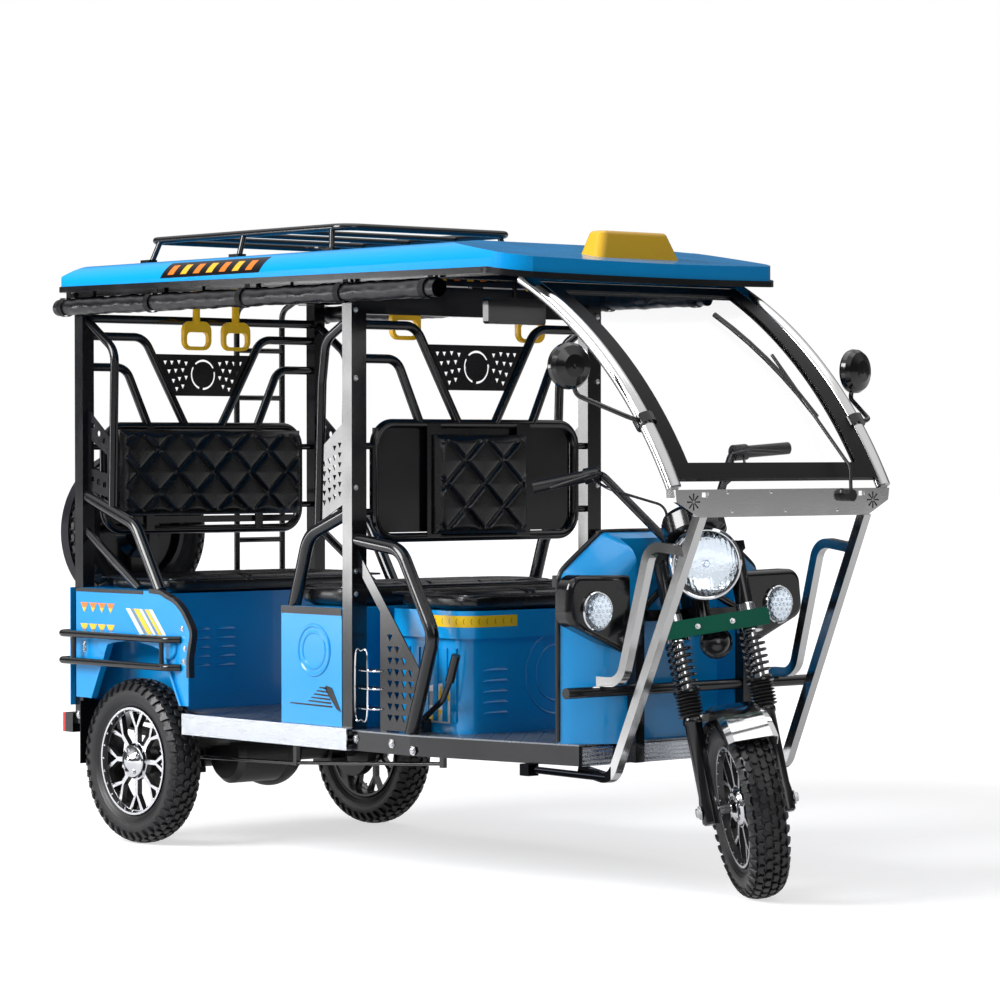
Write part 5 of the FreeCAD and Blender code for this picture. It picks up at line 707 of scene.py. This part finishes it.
# Driver's box: yellow perforated band, pressed louvres and ring, and a chequered patch.
BOX_FRONT, BOX_SIDE = 0.4145, 0.333


def louvre(centre, across, up, out, length, height=0.009, depth=0.006):
    """A pressed louvre: half of a flattened ball, open along its lower edge."""
    u = np.linspace(0, np.pi, 13)[:, None]
    v = np.linspace(0, np.pi / 2, 7)[None]
    swell = np.sin(u) ** 0.5
    points = (np.asarray(centre, float) + (np.cos(u) * length / 2 * (v * 0 + 1))[..., None] * np.asarray(across)
              + (swell * height * (1 - np.sin(v)))[..., None] * np.asarray(up)
              + (swell * depth * np.cos(v) * np.sin(v) * 2)[..., None] * np.asarray(out))
    return points, sheet_faces(13, 7)


front_louvres = [louvre((BOX_FRONT + 0.0002, -0.232, 0.43 + 0.028 * k), (0, 1, 0), (0, 0, 1), (1, 0, 0), 0.085)
                 for k in range(5)]
seat_louvres = [louvre((-0.8283, -0.185, 0.5 + 0.026 * k), (0, 1, 0), (0, 0, 1), (1, 0, 0), 0.07)
                for k in range(5)]
seat_louvres += [louvre((-0.8283, -0.265, 0.5 + 0.026 * k), (0, 1, 0), (0, 0, 1), (1, 0, 0), 0.05)
                 for k in range(5)]
ring_bead = [(0.112, -0.002), (0.112, 0.0008), (0.109, 0.0026), (0.106, 0.0008), (0.104, -0.002)]
inner_bead = [(r - 0.035, h) for r, h in ring_bead]
front_rings = [turned(bead + bead[:1], (BOX_FRONT, -0.02, 0.53), (1, 0, 0), 72)
               for bead in (ring_bead, inner_bead)]
piece("pressed_louvres", front_louvres + seat_louvres + front_rings, blue, "body")

band_yellow = Finish("perforated_band", (0.83, 0.55, 0.01, 1), 0.3, grain=260, bump=0.05)
band_axes = band_yellow.axes()
along_band = band_yellow.sum("ADD", band_axes["X"], band_axes["Y"])
wave = band_yellow.sum("FRACT", band_yellow.sum("DIVIDE", band_yellow.sum("ADD", along_band, band_yellow.sum(
    "MULTIPLY", band_yellow.sum("ABSOLUTE", band_yellow.sum("SUBTRACT", band_axes["Z"], 0.673)), -0.5)), 0.028))
chevron = band_yellow.sum("MULTIPLY", band_yellow.between(wave, 0.4, 0.58, 0.1),
                          band_yellow.between(band_axes["Z"], 0.664, 0.682, 0.003))
band_yellow.paint_over(chevron, (0.1, 0.07, 0.02, 1))
turn = np.radians(np.linspace(-90, 0, 13))
corner = np.stack([0.3665 + (0.06 + 0.0006) * np.cos(turn), -0.285 + (0.06 + 0.0006) * np.sin(turn)], 1)
plan = np.concatenate([[(0.2785, -0.3456)], corner, [(0.4271, -0.168)]])
face = np.stack([np.c_[plan, np.full(len(plan), z)] for z in (0.658, 0.688)])
piece("box_band", [(face, sheet_faces(2, len(plan)))], band_yellow, "body",
      smooth=False)
BOX_PATCH = (("white", [(0.26, 0.405), (0.35, 0.405), (0.35, 0.515), (0.26, 0.5)], 0.0004),
             ("yellow", [(0.262, 0.41), (0.3, 0.41), (0.32, 0.44), (0.282, 0.44)], 0.0007),
             ("yellow", [(0.3, 0.455), (0.348, 0.465), (0.348, 0.51), (0.31, 0.5)], 0.0007),
             ("grey", [(0.262, 0.45), (0.29, 0.45), (0.3, 0.49), (0.262, 0.485)], 0.0007))
patch_films = {"white": film_white, "yellow": film_yellow, "grey": film_grey}
for k, (colour, corners, lift) in enumerate(BOX_PATCH):
    piece(f"box_patch_{k}", [slab([(x, -BOX_SIDE - 0.0003, z) for x, z in corners], (0, -lift, 0))],
          patch_films[colour], "body", smooth=False)

# Steel mid post's bottle cage: bright wire, three hoops on a long loop.
cage = [swept(smooth_path([(0.0865, -0.438, 0.42), (0.0865, -0.438, 0.578), (0.11, -0.438, 0.59),
                           (0.134, -0.438, 0.578), (0.134, -0.438, 0.42), (0.11, -0.438, 0.408)], 72, True),
              0.0024, 8, True, up=(0, 1, 0))]
for height in (0.438, 0.491, 0.538):
    cage.append(swept(smooth_path([(0.083, -0.43, height), (0.12, -0.441, height), (0.175, -0.441, height),
                                   (0.182, -0.4, height), (0.14, -0.385, height), (0.083, -0.388, height)],
                                  60), 0.0024, 8))
piece("bottle_cage", cage, chrome, "body")

# Leg shield: a moulded black edging pushed on to its turned-back rim.
SHIELD_EDGE = [(0.35, 0.385), (0.35, 0.55), (0.35, 0.77), (0.345, 0.8), (0.325, 0.826), (0.235, 0.8905),
               (0.215, 0.904), (0.19, 0.911), (0.0, 0.9115)]
edge = [(0.7905, -y, z) for y, z in SHIELD_EDGE] + [(0.7905, y, z) for y, z in SHIELD_EDGE[-2::-1]]
piece("shield_edging", [swept(smooth_path(edge, 140), 0.0065, 10, up=(1, 0, 0))], trim_rubber,
      "body")

# Seats: foam under gloss black vinyl. Each cushion is swollen by cloth simulation, then
# gets its stitched channels and a piped edge; the back pads are quilted in diamonds.
vinyl = Finish("black_vinyl", (0.005, 0.005, 0.006, 1), 0.26, swing=0.06, grain=420, bump=0.16, dust=0.0,
               Coat_Weight=0.15, Coat_Roughness=0.12)
cell = add_node(vinyl.tree, "ShaderNodeTexVoronoi", {"Scale": 380, "Vector": vinyl.place.outputs["Object"]})
vinyl.raise_by(cell.outputs["Distance"], 0.8)


def cushion_shape(low, high, crown):
    """A soft block: a rounded box whose top is crowned.

    Each face grid of a cube is pushed out along a superellipse of power seven, then
    scaled to the cushion's box; the top rises by the crown times the falling squares.
    """
    t = np.linspace(-1, 1, 41)
    grid = np.stack(np.meshgrid(t, t, indexing="ij"), -1).reshape(-1, 2)
    parts = []
    centre, half = (np.asarray(low) + high) / 2, (np.asarray(high) - low) / 2
    for axis in range(3):
        for sign in (-1, 1):
            cube = np.insert(grid, axis, 0, 1).astype(float)
            cube[:, axis] = sign
            power = 7.0
            cube /= (np.abs(cube) ** power).sum(1)[:, None] ** (1 / power)
            cube[:, 2] += np.where(cube[:, 2] > 0, crown * (1 - cube[:, 0] ** 2) * (1 - cube[:, 1] ** 2), 0)
            parts.append((centre + cube * half, sheet_faces(41, 41)))
    return parts


def swell(item, voxel=0.009, pressure=4.0, cap=0.006):
    """Swell a closed piece like stuffed cloth, hold each point within a cap, and keep it."""
    remesh = item.modifiers.new("voxels", "REMESH")
    remesh.mode = "VOXEL"
    remesh.voxel_size = voxel
    cloth = item.modifiers.new("stuffing", "CLOTH")
    cloth.settings.use_pressure = True
    cloth.settings.uniform_pressure_force = pressure
    cloth.settings.effector_weights.gravity = 0
    cloth.settings.tension_stiffness = 40
    cloth.settings.bending_stiffness = 2
    view = bpy.context.view_layer
    view.objects.active = item
    with bpy.context.temp_override(object=item, active_object=item):
        bpy.ops.object.modifier_apply(modifier="voxels")
    before = np.array([v.co for v in item.data.vertices])
    scene = bpy.context.scene
    for step in range(1, 19):
        scene.frame_set(step)
    shown = item.evaluated_get(bpy.context.evaluated_depsgraph_get()).to_mesh()
    after = np.array([v.co for v in shown.vertices])
    item.modifiers.remove(cloth)
    scene.frame_set(1)
    move = after - before
    size = np.linalg.norm(move, axis=1)[:, None]
    move *= np.minimum(1, cap / np.maximum(size, 1e-9))
    item.data.vertices.foreach_set("co", (before + move).ravel())
    item.data.polygons.foreach_set("use_smooth", [True] * len(item.data.polygons))
    item.data.update()


def seat(name, node, low, high, seams_across, facing):
    """A seat cushion inside its CAD block, with stitched channels across its top."""
    low, high = np.array(low), np.array(high)
    inset = np.array((0.004, 0.004, 0.002))
    top = np.array((0.004, 0.004, 0.007))
    item = piece(name, cushion_shape(low + inset, high - top, 0.1), vinyl, "body")
    swell(item)
    item.modifiers.new("smooth", "SUBSURF").levels = 1
    item.modifiers["smooth"].render_levels = 1
    with bpy.context.temp_override(object=item, active_object=item):
        bpy.ops.object.modifier_apply(modifier="smooth")
    at = np.array([v.co for v in item.data.vertices])
    share = (at[:, 0] - low[0]) / (high[0] - low[0])
    sideways = at[:, 1]
    upper = np.clip((at[:, 2] - (high[2] - 0.02)) / 0.008, 0, 1)
    depth = np.zeros(len(at))
    for middle in seams_across:
        beside = np.abs(sideways - middle)
        for k in range(6):
            line = 0.14 + 0.11 * k
            slant = share + (beside - 0.05) * 0.9 * facing
            groove = np.exp(-(((slant - line) * (high[0] - low[0])) / 0.006) ** 2)
            depth += groove * np.clip((0.085 - beside) / 0.006, 0, 1)
        depth += 0.8 * np.exp(-(((beside - 0.09) / 0.004) ** 2))
    depth += 0.8 * np.exp(-((np.minimum(share, 1 - share) * (high[0] - low[0]) - 0.03) / 0.004) ** 2)
    at[:, 2] -= 0.006 * np.clip(depth, 0, 1) * upper
    item.data.vertices.foreach_set("co", at.ravel())
    item.data.update()
    line_z = high[2] - 0.012
    x0, x1, y0, y1 = low[0] + 0.003, high[0] - 0.003, low[1] + 0.003, high[1] - 0.003
    r = 0.022
    corners = []
    for cx, cy, begin in ((x1 - r, y1 - r, 0), (x0 + r, y1 - r, 90), (x0 + r, y0 + r, 180), (x1 - r, y0 + r, 270)):
        turn = np.radians(begin + np.linspace(0, 90, 9))
        corners.append(np.stack([cx + r * np.cos(turn), cy + r * np.sin(turn), np.full(9, line_z)], 1))
    piping = piece(name + "_piping", [swept(np.concatenate(corners), 0.0028, 8, True)], vinyl, "body")
    piping.parent = item
    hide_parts(node)
    return item


seat("rear_seat_cushion", "rear_cushion", (-1.1745, -0.388, 0.712), (-0.8105, 0.388, 0.764),
     (-0.2, 0.0, 0.2), 1)
seat("bench_seat_cushion", "bench_cushion", (-0.2365, -0.406, 0.7), (0.0035, 0.406, 0.764),
     (-0.26, 0.0, 0.26), -1)
seat("driver_seat_cushion", "driver_cushion", (0.0975, -0.339, 0.7), (0.4325, 0.339, 0.752),
     (-0.2, 0.0, 0.2), 1)

# Back pads: vinyl pressed over foam in a lattice of deep crossed grooves.
QUILT_ACROSS, QUILT_UP = 0.135, 0.128
GROOVE = 0.0065


def quilted(low, high, face_x, sign, corner=0.05):
    """A back pad: a rounded slab whose front face carries crossed grooves.

    The groove depth is a bell of the distance to the nearest of two families of
    slanted lines; the edge rolls back over the last 20 mm.
    """
    y = np.linspace(low[1], high[1], 165)
    z = np.linspace(low[2], high[2], 69)
    yy, zz = np.meshgrid(y, z, indexing="ij")
    u, v = yy / QUILT_ACROSS, (zz - (low[2] + high[2]) / 2) / QUILT_UP
    slope = math.hypot(1 / QUILT_ACROSS, 1 / QUILT_UP)
    near = [np.abs((w + 0.5) - np.floor(w + 0.5) - 0.5) / slope for w in (u + v, u - v)]
    groove = np.exp(-((np.minimum(near[0], near[1]) / GROOVE) ** 2))
    puff = np.minimum(near[0], near[1]) * slope
    edge = np.minimum(np.minimum(yy - low[1], high[1] - yy), np.minimum(zz - low[2], high[2] - zz))
    roll = 1 - np.clip(1 - edge / 0.02, 0, 1) ** 2
    border = np.clip((edge - 0.012) / 0.008, 0, 1)
    front = (face_x - sign * (0.002 + 0.007 * groove * border - 0.0035 * np.sin(puff * np.pi) ** 0.6 * border
                              + 0.014 * (1 - roll)))
    back_x = face_x - sign * (high[0] - low[0] - 0.001)
    grid = np.stack([front, yy, zz], -1)
    back = np.stack([np.full_like(yy, back_x), yy, zz], -1)
    rows, columns = yy.shape
    rim = np.concatenate([grid[:, 0], grid[-1, 1:], grid[-2::-1, -1], grid[0, -2:0:-1]])
    rim_back = rim.copy()
    rim_back[:, 0] = back_x
    wall = np.stack([rim, rim_back])
    return [(grid, sheet_faces(rows, columns)), (back, sheet_faces(rows, columns)),
            (wall, sheet_faces(2, len(rim), wrap_columns=True))]


for name, node, low, high, sign in (
        ("rear_pad_quilted", "rear_back_pad", (-1.176, -0.33, 0.929), (-1.13, 0.33, 1.179), 1),
        ("bench_pad_quilted", "bench_back_pad", (0.008, -0.33, 0.929), (0.054, 0.33, 1.179), -1),
        ("driver_pad_quilted", "driver_back_pad", (0.079, -0.165, 0.893), (0.102, 0.165, 1.16), 1)):
    face = high[0] if sign > 0 else low[0]
    pad = piece(name, quilted(low, high, face, sign), vinyl, "body")
    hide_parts(node)

# Roof: one glass-fibre moulding in gloss light blue, with a generic striped film on its sides.
roof_blue = Finish("roof_gel_coat", BLUE, 0.2, swing=0.04, grain=90, bump=0.01, dust=0.0, Coat_Weight=0.1,
                   Coat_Roughness=0.04, Specular_IOR_Level=0.2)
roof_axes = roof_blue.axes()
slanted = roof_blue.sum("SUBTRACT", roof_axes["X"], roof_blue.sum("MULTIPLY", roof_axes["Z"], 0.6))
on_flank = roof_blue.between(roof_blue.sum("ABSOLUTE", roof_axes["Y"]), 0.4, 0.6)
FILM = [((0.006, 0.006, 0.007, 1), -1.7, -1.24, 1.6, 1.644)]
FILM += [(((0.75, 0.17, 0.02, 1), (0.8, 0.4, 0.03, 1))[k % 2], -1.672 + 0.06 * k, -1.642 + 0.06 * k, 1.609, 1.636)
         for k in range(7)]
for colour, start, end, low, high in FILM:
    stripe = roof_blue.sum("MULTIPLY", roof_blue.between(slanted, start, end, 0.002),
                           roof_blue.between(roof_axes["Z"], low, high, 0.001))
    roof_blue.paint_over(roof_blue.sum("MULTIPLY", stripe, on_flank), colour)
dress(roof_blue, "roof_shell")

# Roof sign: blank yellow moulding. Hand straps: a brighter yellow plastic with a faint painted glow, painted light
# on parts that are no lamp.
yellow = Finish("yellow_moulding", (0.75, 0.42, 0.005, 1), 0.26, grain=200, bump=0.02, dust=0.0,
                Coat_Weight=0.2)
dress(yellow, "sign_lamp")
# The straps' weak emission is a painted glow: it brightens them as if lit, though they give no light.
strap_yellow_painted_glow = Finish("strap_yellow_painted_glow", (0.95, 0.55, 0.01, 1), 0.3, grain=200, bump=0.02, dust=0.0,
                      Emission_Color=(0.9, 0.5, 0.01, 1), Emission_Strength=0.15)
dress(strap_yellow_painted_glow, "grab_handles")

# Windscreen: laminated glass in a wide rubber seal.
glass = Finish("screen_glass", (1, 1, 1, 1), 0.02, swing=0.01, grain=200, bump=0.0, dust=0.0, IOR=1.1,
               Transmission_Weight=1.0)
dress(glass, "windscreen_glass")
seal = Finish("seal_rubber", (0.003, 0.003, 0.0035, 1), 0.45, grain=500, bump=0.06, dust=0.0,
              Specular_IOR_Level=0.2)
dress(seal, "windscreen_seal", "mud_flaps")
SCREEN_RIVETS = [(1.246, y, z) for y, z in ((-0.2, 1.014), (-0.05, 1.014), (0.2, 1.014), (-0.185, 0.968),
                                           (0.0, 0.968), (0.185, 0.968))]
piece("screen_rivets", [bolts([(1.2456, y, z) for x, y, z in SCREEN_RIVETS], (1, 0, 0), 0.0035,
                              0.002, 10)], chrome, "body")
stars = []
for side in (-1, 1):
    for k in range(8):
        turn = k * math.pi / 4
        a = np.array((math.cos(turn), math.sin(turn)))
        b = np.array((-a[1], a[0]))
        middle = np.array((side * 0.315, 0.992))
        ends = [middle + a * 0.004 + b * 0.0012, middle + a * 0.021 + b * 0.0022, middle + a * 0.021 - b * 0.0022,
                middle + a * 0.004 - b * 0.0012]
        stars.append(slab([(1.2455, y, z) for y, z in ends], (0.0006, 0, 0)))
piece("screen_star_cutouts", stars, moulded, "body", smooth=False)

# Side lamps: clear lens over a bright dish with three rings of diodes, chrome bezel.
LAMP_X, LAMP_Y, LAMP_Z = 0.9015, 0.32, 0.716
dishes, diodes, bezels, lenses = [], [], [], []
for side in (-1, 1):
    at = (LAMP_X, side * LAMP_Y, LAMP_Z)
    dishes.append(turned([(0, 0.0004), (0.044, 0.0004), (0.044, 0.004), (0, 0.003)], at, (1, 0, 0), 40))
    for ring_radius, count in ((0.0, 1), (0.0135, 6), (0.027, 12), (0.0385, 18)):
        turn = np.arange(count) * 2 * np.pi / count
        heads = np.stack([np.full(count, at[0] + 0.0035), at[1] + ring_radius * np.cos(turn),
                          at[2] + ring_radius * np.sin(turn)], 1)
        diodes.append(bolts(heads, (1, 0, 0), 0.0035, 0.005, 10))
    bezel = [(0.0445, 0.0003), (0.05, 0.0003), (0.05, 0.006), (0.0475, 0.009), (0.0445, 0.008)]
    bezels.append(turned(bezel + bezel[:1], at, (1, 0, 0), 56))
    lenses.append(turned([(0.044, 0.0075), (0.043, 0.012), (0.036, 0.0158), (0.024, 0.0184), (0, 0.0196)], at,
                         (1, 0, 0), 48))
piece("side_lamp_dishes", dishes, dish_metal, "body")
piece("side_lamp_diodes", diodes, dish_metal, "body")
piece("side_lamp_bezels", bezels, chrome, "body")
lamp_lenses = piece("side_lamp_lenses", lenses, clear, "body")
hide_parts("side_lamps")

# Tail lamps: red moulded lens blocks.
red = Finish("red_moulding", (0.55, 0.01, 0.008, 1), 0.16, grain=90, bump=0.1, Coat_Weight=0.3)
rear_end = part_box("tail_lamps")[0].x
red.paint_over(red.between(red.axes()["X"], rear_end + 0.012, 5.0), COAT_BLACK)
dress(red, "tail_lamps")

# Spare wheel cover: dished dark grey moulding.
cover = Finish("grey_moulding", (0.005, 0.006, 0.009, 1), 0.4, grain=500, bump=0.12, dust=0.0,
               Specular_IOR_Level=0.25)
dress(cover, "spare_cover")

# Side curtains: thin black vinyl, rolled up tight under the roof's edge and strapped.
ROLL_Y, ROLL_Z, ROLL_RADIUS = 0.476, 1.534, 0.0262
ROLL_BACK, ROLL_FRONT = -1.2425, 0.4755
ROLL_TURNS, ROLL_CORE = 5.0, 0.006
curtain_vinyl = Finish("curtain_vinyl", (0.006, 0.006, 0.008, 1), 0.3, swing=0.1, grain=200, bump=0.2)


def rolled_curtain(side):
    """A sheet wound in an even spiral round a line along X.

    The spiral's radius grows evenly with its turn; slanted waves squeeze it between the
    straps, where it is drawn in.
    """
    along = np.linspace(ROLL_BACK, ROLL_FRONT, 181)
    turn = np.linspace(0, ROLL_TURNS * 2 * np.pi, 111)
    xx, tt = np.meshgrid(along, turn, indexing="ij")
    radius = ROLL_CORE + (ROLL_RADIUS - ROLL_CORE) * tt / turn[-1]
    outer = np.clip((radius - 0.018) / 0.008, 0, 1)
    waves = (0.0011 * np.sin(xx * 34 + tt * 2.0) + 0.0009 * np.sin(xx * 71 - tt * 3.0 + 1.0)
             + 0.0007 * np.sin(xx * 123 + tt * 1.0 + 2.0))
    drawn = sum(np.exp(-(((xx - x) / 0.02) ** 2)) for x in STRAPS)
    radius = radius + outer * (waves - 0.0018 * np.clip(drawn, 0, 1))
    points = np.stack([xx, side * (ROLL_Y + radius * np.sin(tt)), ROLL_Z + radius * np.cos(tt)], -1)
    return points, sheet_faces(181, 111)


STRAP_RADIUS, STRAP_HALF = 0.0275, 0.011
STRAPS = (-1.2085, -0.7785, -0.3485, 0.0815, 0.4315)
curtains, strap_parts = [], []
for side in (-1, 1):
    name = "curtain_right" if side < 0 else "curtain_left"
    roll = piece(name, [rolled_curtain(side)], curtain_vinyl, "body")
    curtains.append(roll)
    for x in STRAPS:
        turn = np.arange(36) * 2 * np.pi / 36
        ring = np.stack([np.full(36, x), side * (ROLL_Y + STRAP_RADIUS * np.sin(turn)),
                         ROLL_Z + STRAP_RADIUS * np.cos(turn)], 1)
        edge = np.stack([ring + (w, 0, 0) for w in (-STRAP_HALF, STRAP_HALF)])
        strap_parts.append((edge, sheet_faces(2, 36, wrap_columns=True)))
        strap_parts.append(block((x - STRAP_HALF, side * 0.4655, 1.556), (x + STRAP_HALF, side * 0.467, 1.5785)))
straps = piece("curtain_straps", strap_parts, seal, "body")
for roll in curtains:
    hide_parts("curtain_rolls")

# Floor, light and camera: a pale studio sweep, a wide key, an upright strip for the
# bright post, a front fill and a top light under a sky that is brighter overhead.
white_floor = bpy.data.materials.new("studio_floor")
white_floor.use_nodes = True
floor_tree = white_floor.node_tree
floor_shader = floor_tree.nodes["Principled BSDF"]
for socket, value in (("Base Color", (0.55, 0.555, 0.565, 1)), ("Roughness", 0.9), ("Specular IOR Level", 0.0),
                      ("Emission Color", (1, 1, 1, 1))):
    floor_shader.inputs[socket].default_value = value
seen = floor_tree.nodes.new("ShaderNodeLightPath").outputs
glossy_share = add_node(floor_tree, "ShaderNodeMath", {0: seen["Is Glossy Ray"], 1: 0.5}, operation="MULTIPLY")
clear_share = add_node(floor_tree, "ShaderNodeMath", {0: seen["Is Transmission Ray"], 1: glossy_share.outputs[0]},
                       operation="MAXIMUM")
either = add_node(floor_tree, "ShaderNodeMath", {0: seen["Is Camera Ray"], 1: clear_share.outputs[0]},
                  operation="MAXIMUM")
floor_place = floor_tree.nodes.new("ShaderNodeTexCoord")
far = add_node(floor_tree, "ShaderNodeVectorMath", {0: floor_place.outputs["Object"]}, operation="LENGTH")
sweep = add_node(floor_tree, "ShaderNodeMapRange", {"Value": far.outputs["Value"], "From Min": 2.2,
                                                    "From Max": 4.2, "To Min": 0.62, "To Max": 1.0},
                 interpolation_type="SMOOTHSTEP")
glow = add_node(floor_tree, "ShaderNodeMath", {0: either.outputs[0], 1: sweep.outputs[0]}, operation="MULTIPLY")
floor_tree.links.new(glow.outputs[0], floor_shader.inputs["Emission Strength"])
floor_mesh = bpy.data.meshes.new("studio_floor")
reach = 60
floor_mesh.from_pydata([(-reach, -reach, 0), (reach, -reach, 0), (reach, reach, 0), (-reach, reach, 0)], [],
                       [(0, 1, 2, 3)])
floor_mesh.materials.append(white_floor)
floor = bpy.data.objects.new("studio_floor", floor_mesh)
bpy.context.scene.collection.objects.link(floor)

world = bpy.data.worlds.new("studio")
bpy.context.scene.world = world
world.use_nodes = True
sky = world.node_tree
background = sky.nodes["Background"]
ray = sky.nodes.new("ShaderNodeLightPath").outputs
heading = sky.nodes.new("ShaderNodeTexCoord")
parted = add_node(sky, "ShaderNodeSeparateXYZ", {0: heading.outputs["Generated"]})
ceiling = add_node(sky, "ShaderNodeMapRange", {"Value": parted.outputs["Z"], "From Min": 0.3, "From Max": 0.7,
                                               "To Min": 0.1, "To Max": 1.0}, interpolation_type="SMOOTHSTEP")
mirrored = add_node(sky, "ShaderNodeMix", {"Factor": ray["Is Glossy Ray"], "A": 0.26, "B": ceiling.outputs[0]})
shown = add_node(sky, "ShaderNodeMath", {0: ray["Is Camera Ray"], 1: ray["Is Transmission Ray"]},
                 operation="MAXIMUM")
strength = add_node(sky, "ShaderNodeMix", {"Factor": shown.outputs[0], "A": mirrored.outputs["Result"], "B": 1.0})
background.inputs["Color"].default_value = (1, 1, 1, 1)
sky.links.new(strength.outputs["Result"], background.inputs["Strength"])

for name, place, aim, size, power in (("key", (-1.5, -6.0, 4.2), (0, 0, 0.8), (3.6, 3.6), 640),
                                      ("strip", (-5.4, -4.85, 1.12), (0, -0.4, 1.1), (0.9, 1.37), 44),
                                      ("front_fill", (6.5, -1.0, 3.6), (0.4, 0, 0.8), (3.0, 3.0), 50),
                                      ("top", (0, 0, 5.5), (0, 0, 0), (4.5, 4.5), 70)):
    lamp = bpy.data.lights.new(name, "AREA")
    lamp.shape = "RECTANGLE"
    lamp.size, lamp.size_y = size
    lamp.energy = power
    holder = bpy.data.objects.new(name, lamp)
    holder.location = place
    holder.rotation_euler = (Vector(aim) - Vector(place)).to_track_quat("-Z", "Y").to_euler()
    bpy.context.scene.collection.objects.link(holder)

LENS = 131.82
YAW, PITCH, ROLL = math.radians(49.117), math.radians(0.763), math.radians(-0.055)
ahead = Vector((-math.sin(YAW) * math.cos(PITCH), math.cos(YAW) * math.cos(PITCH), -math.sin(PITCH)))
right = Vector((math.cos(YAW), math.sin(YAW), 0))
above = right.cross(ahead)
tilted = right * math.cos(ROLL) + above * math.sin(ROLL)
above = above * math.cos(ROLL) - right * math.sin(ROLL)
camera_data = bpy.data.cameras.new("camera")
camera_data.lens = LENS
camera_data.sensor_width = 36
camera_data.clip_end = 200
camera = bpy.data.objects.new("camera", camera_data)
camera.matrix_world = Matrix.Translation((7.64919, -6.47966, 1.11578)) @ Matrix(
    (tilted, above, -ahead)).transposed().to_4x4()
bpy.context.scene.collection.objects.link(camera)
bpy.context.scene.camera = camera
bpy.context.scene.view_settings.view_transform = "Standard"
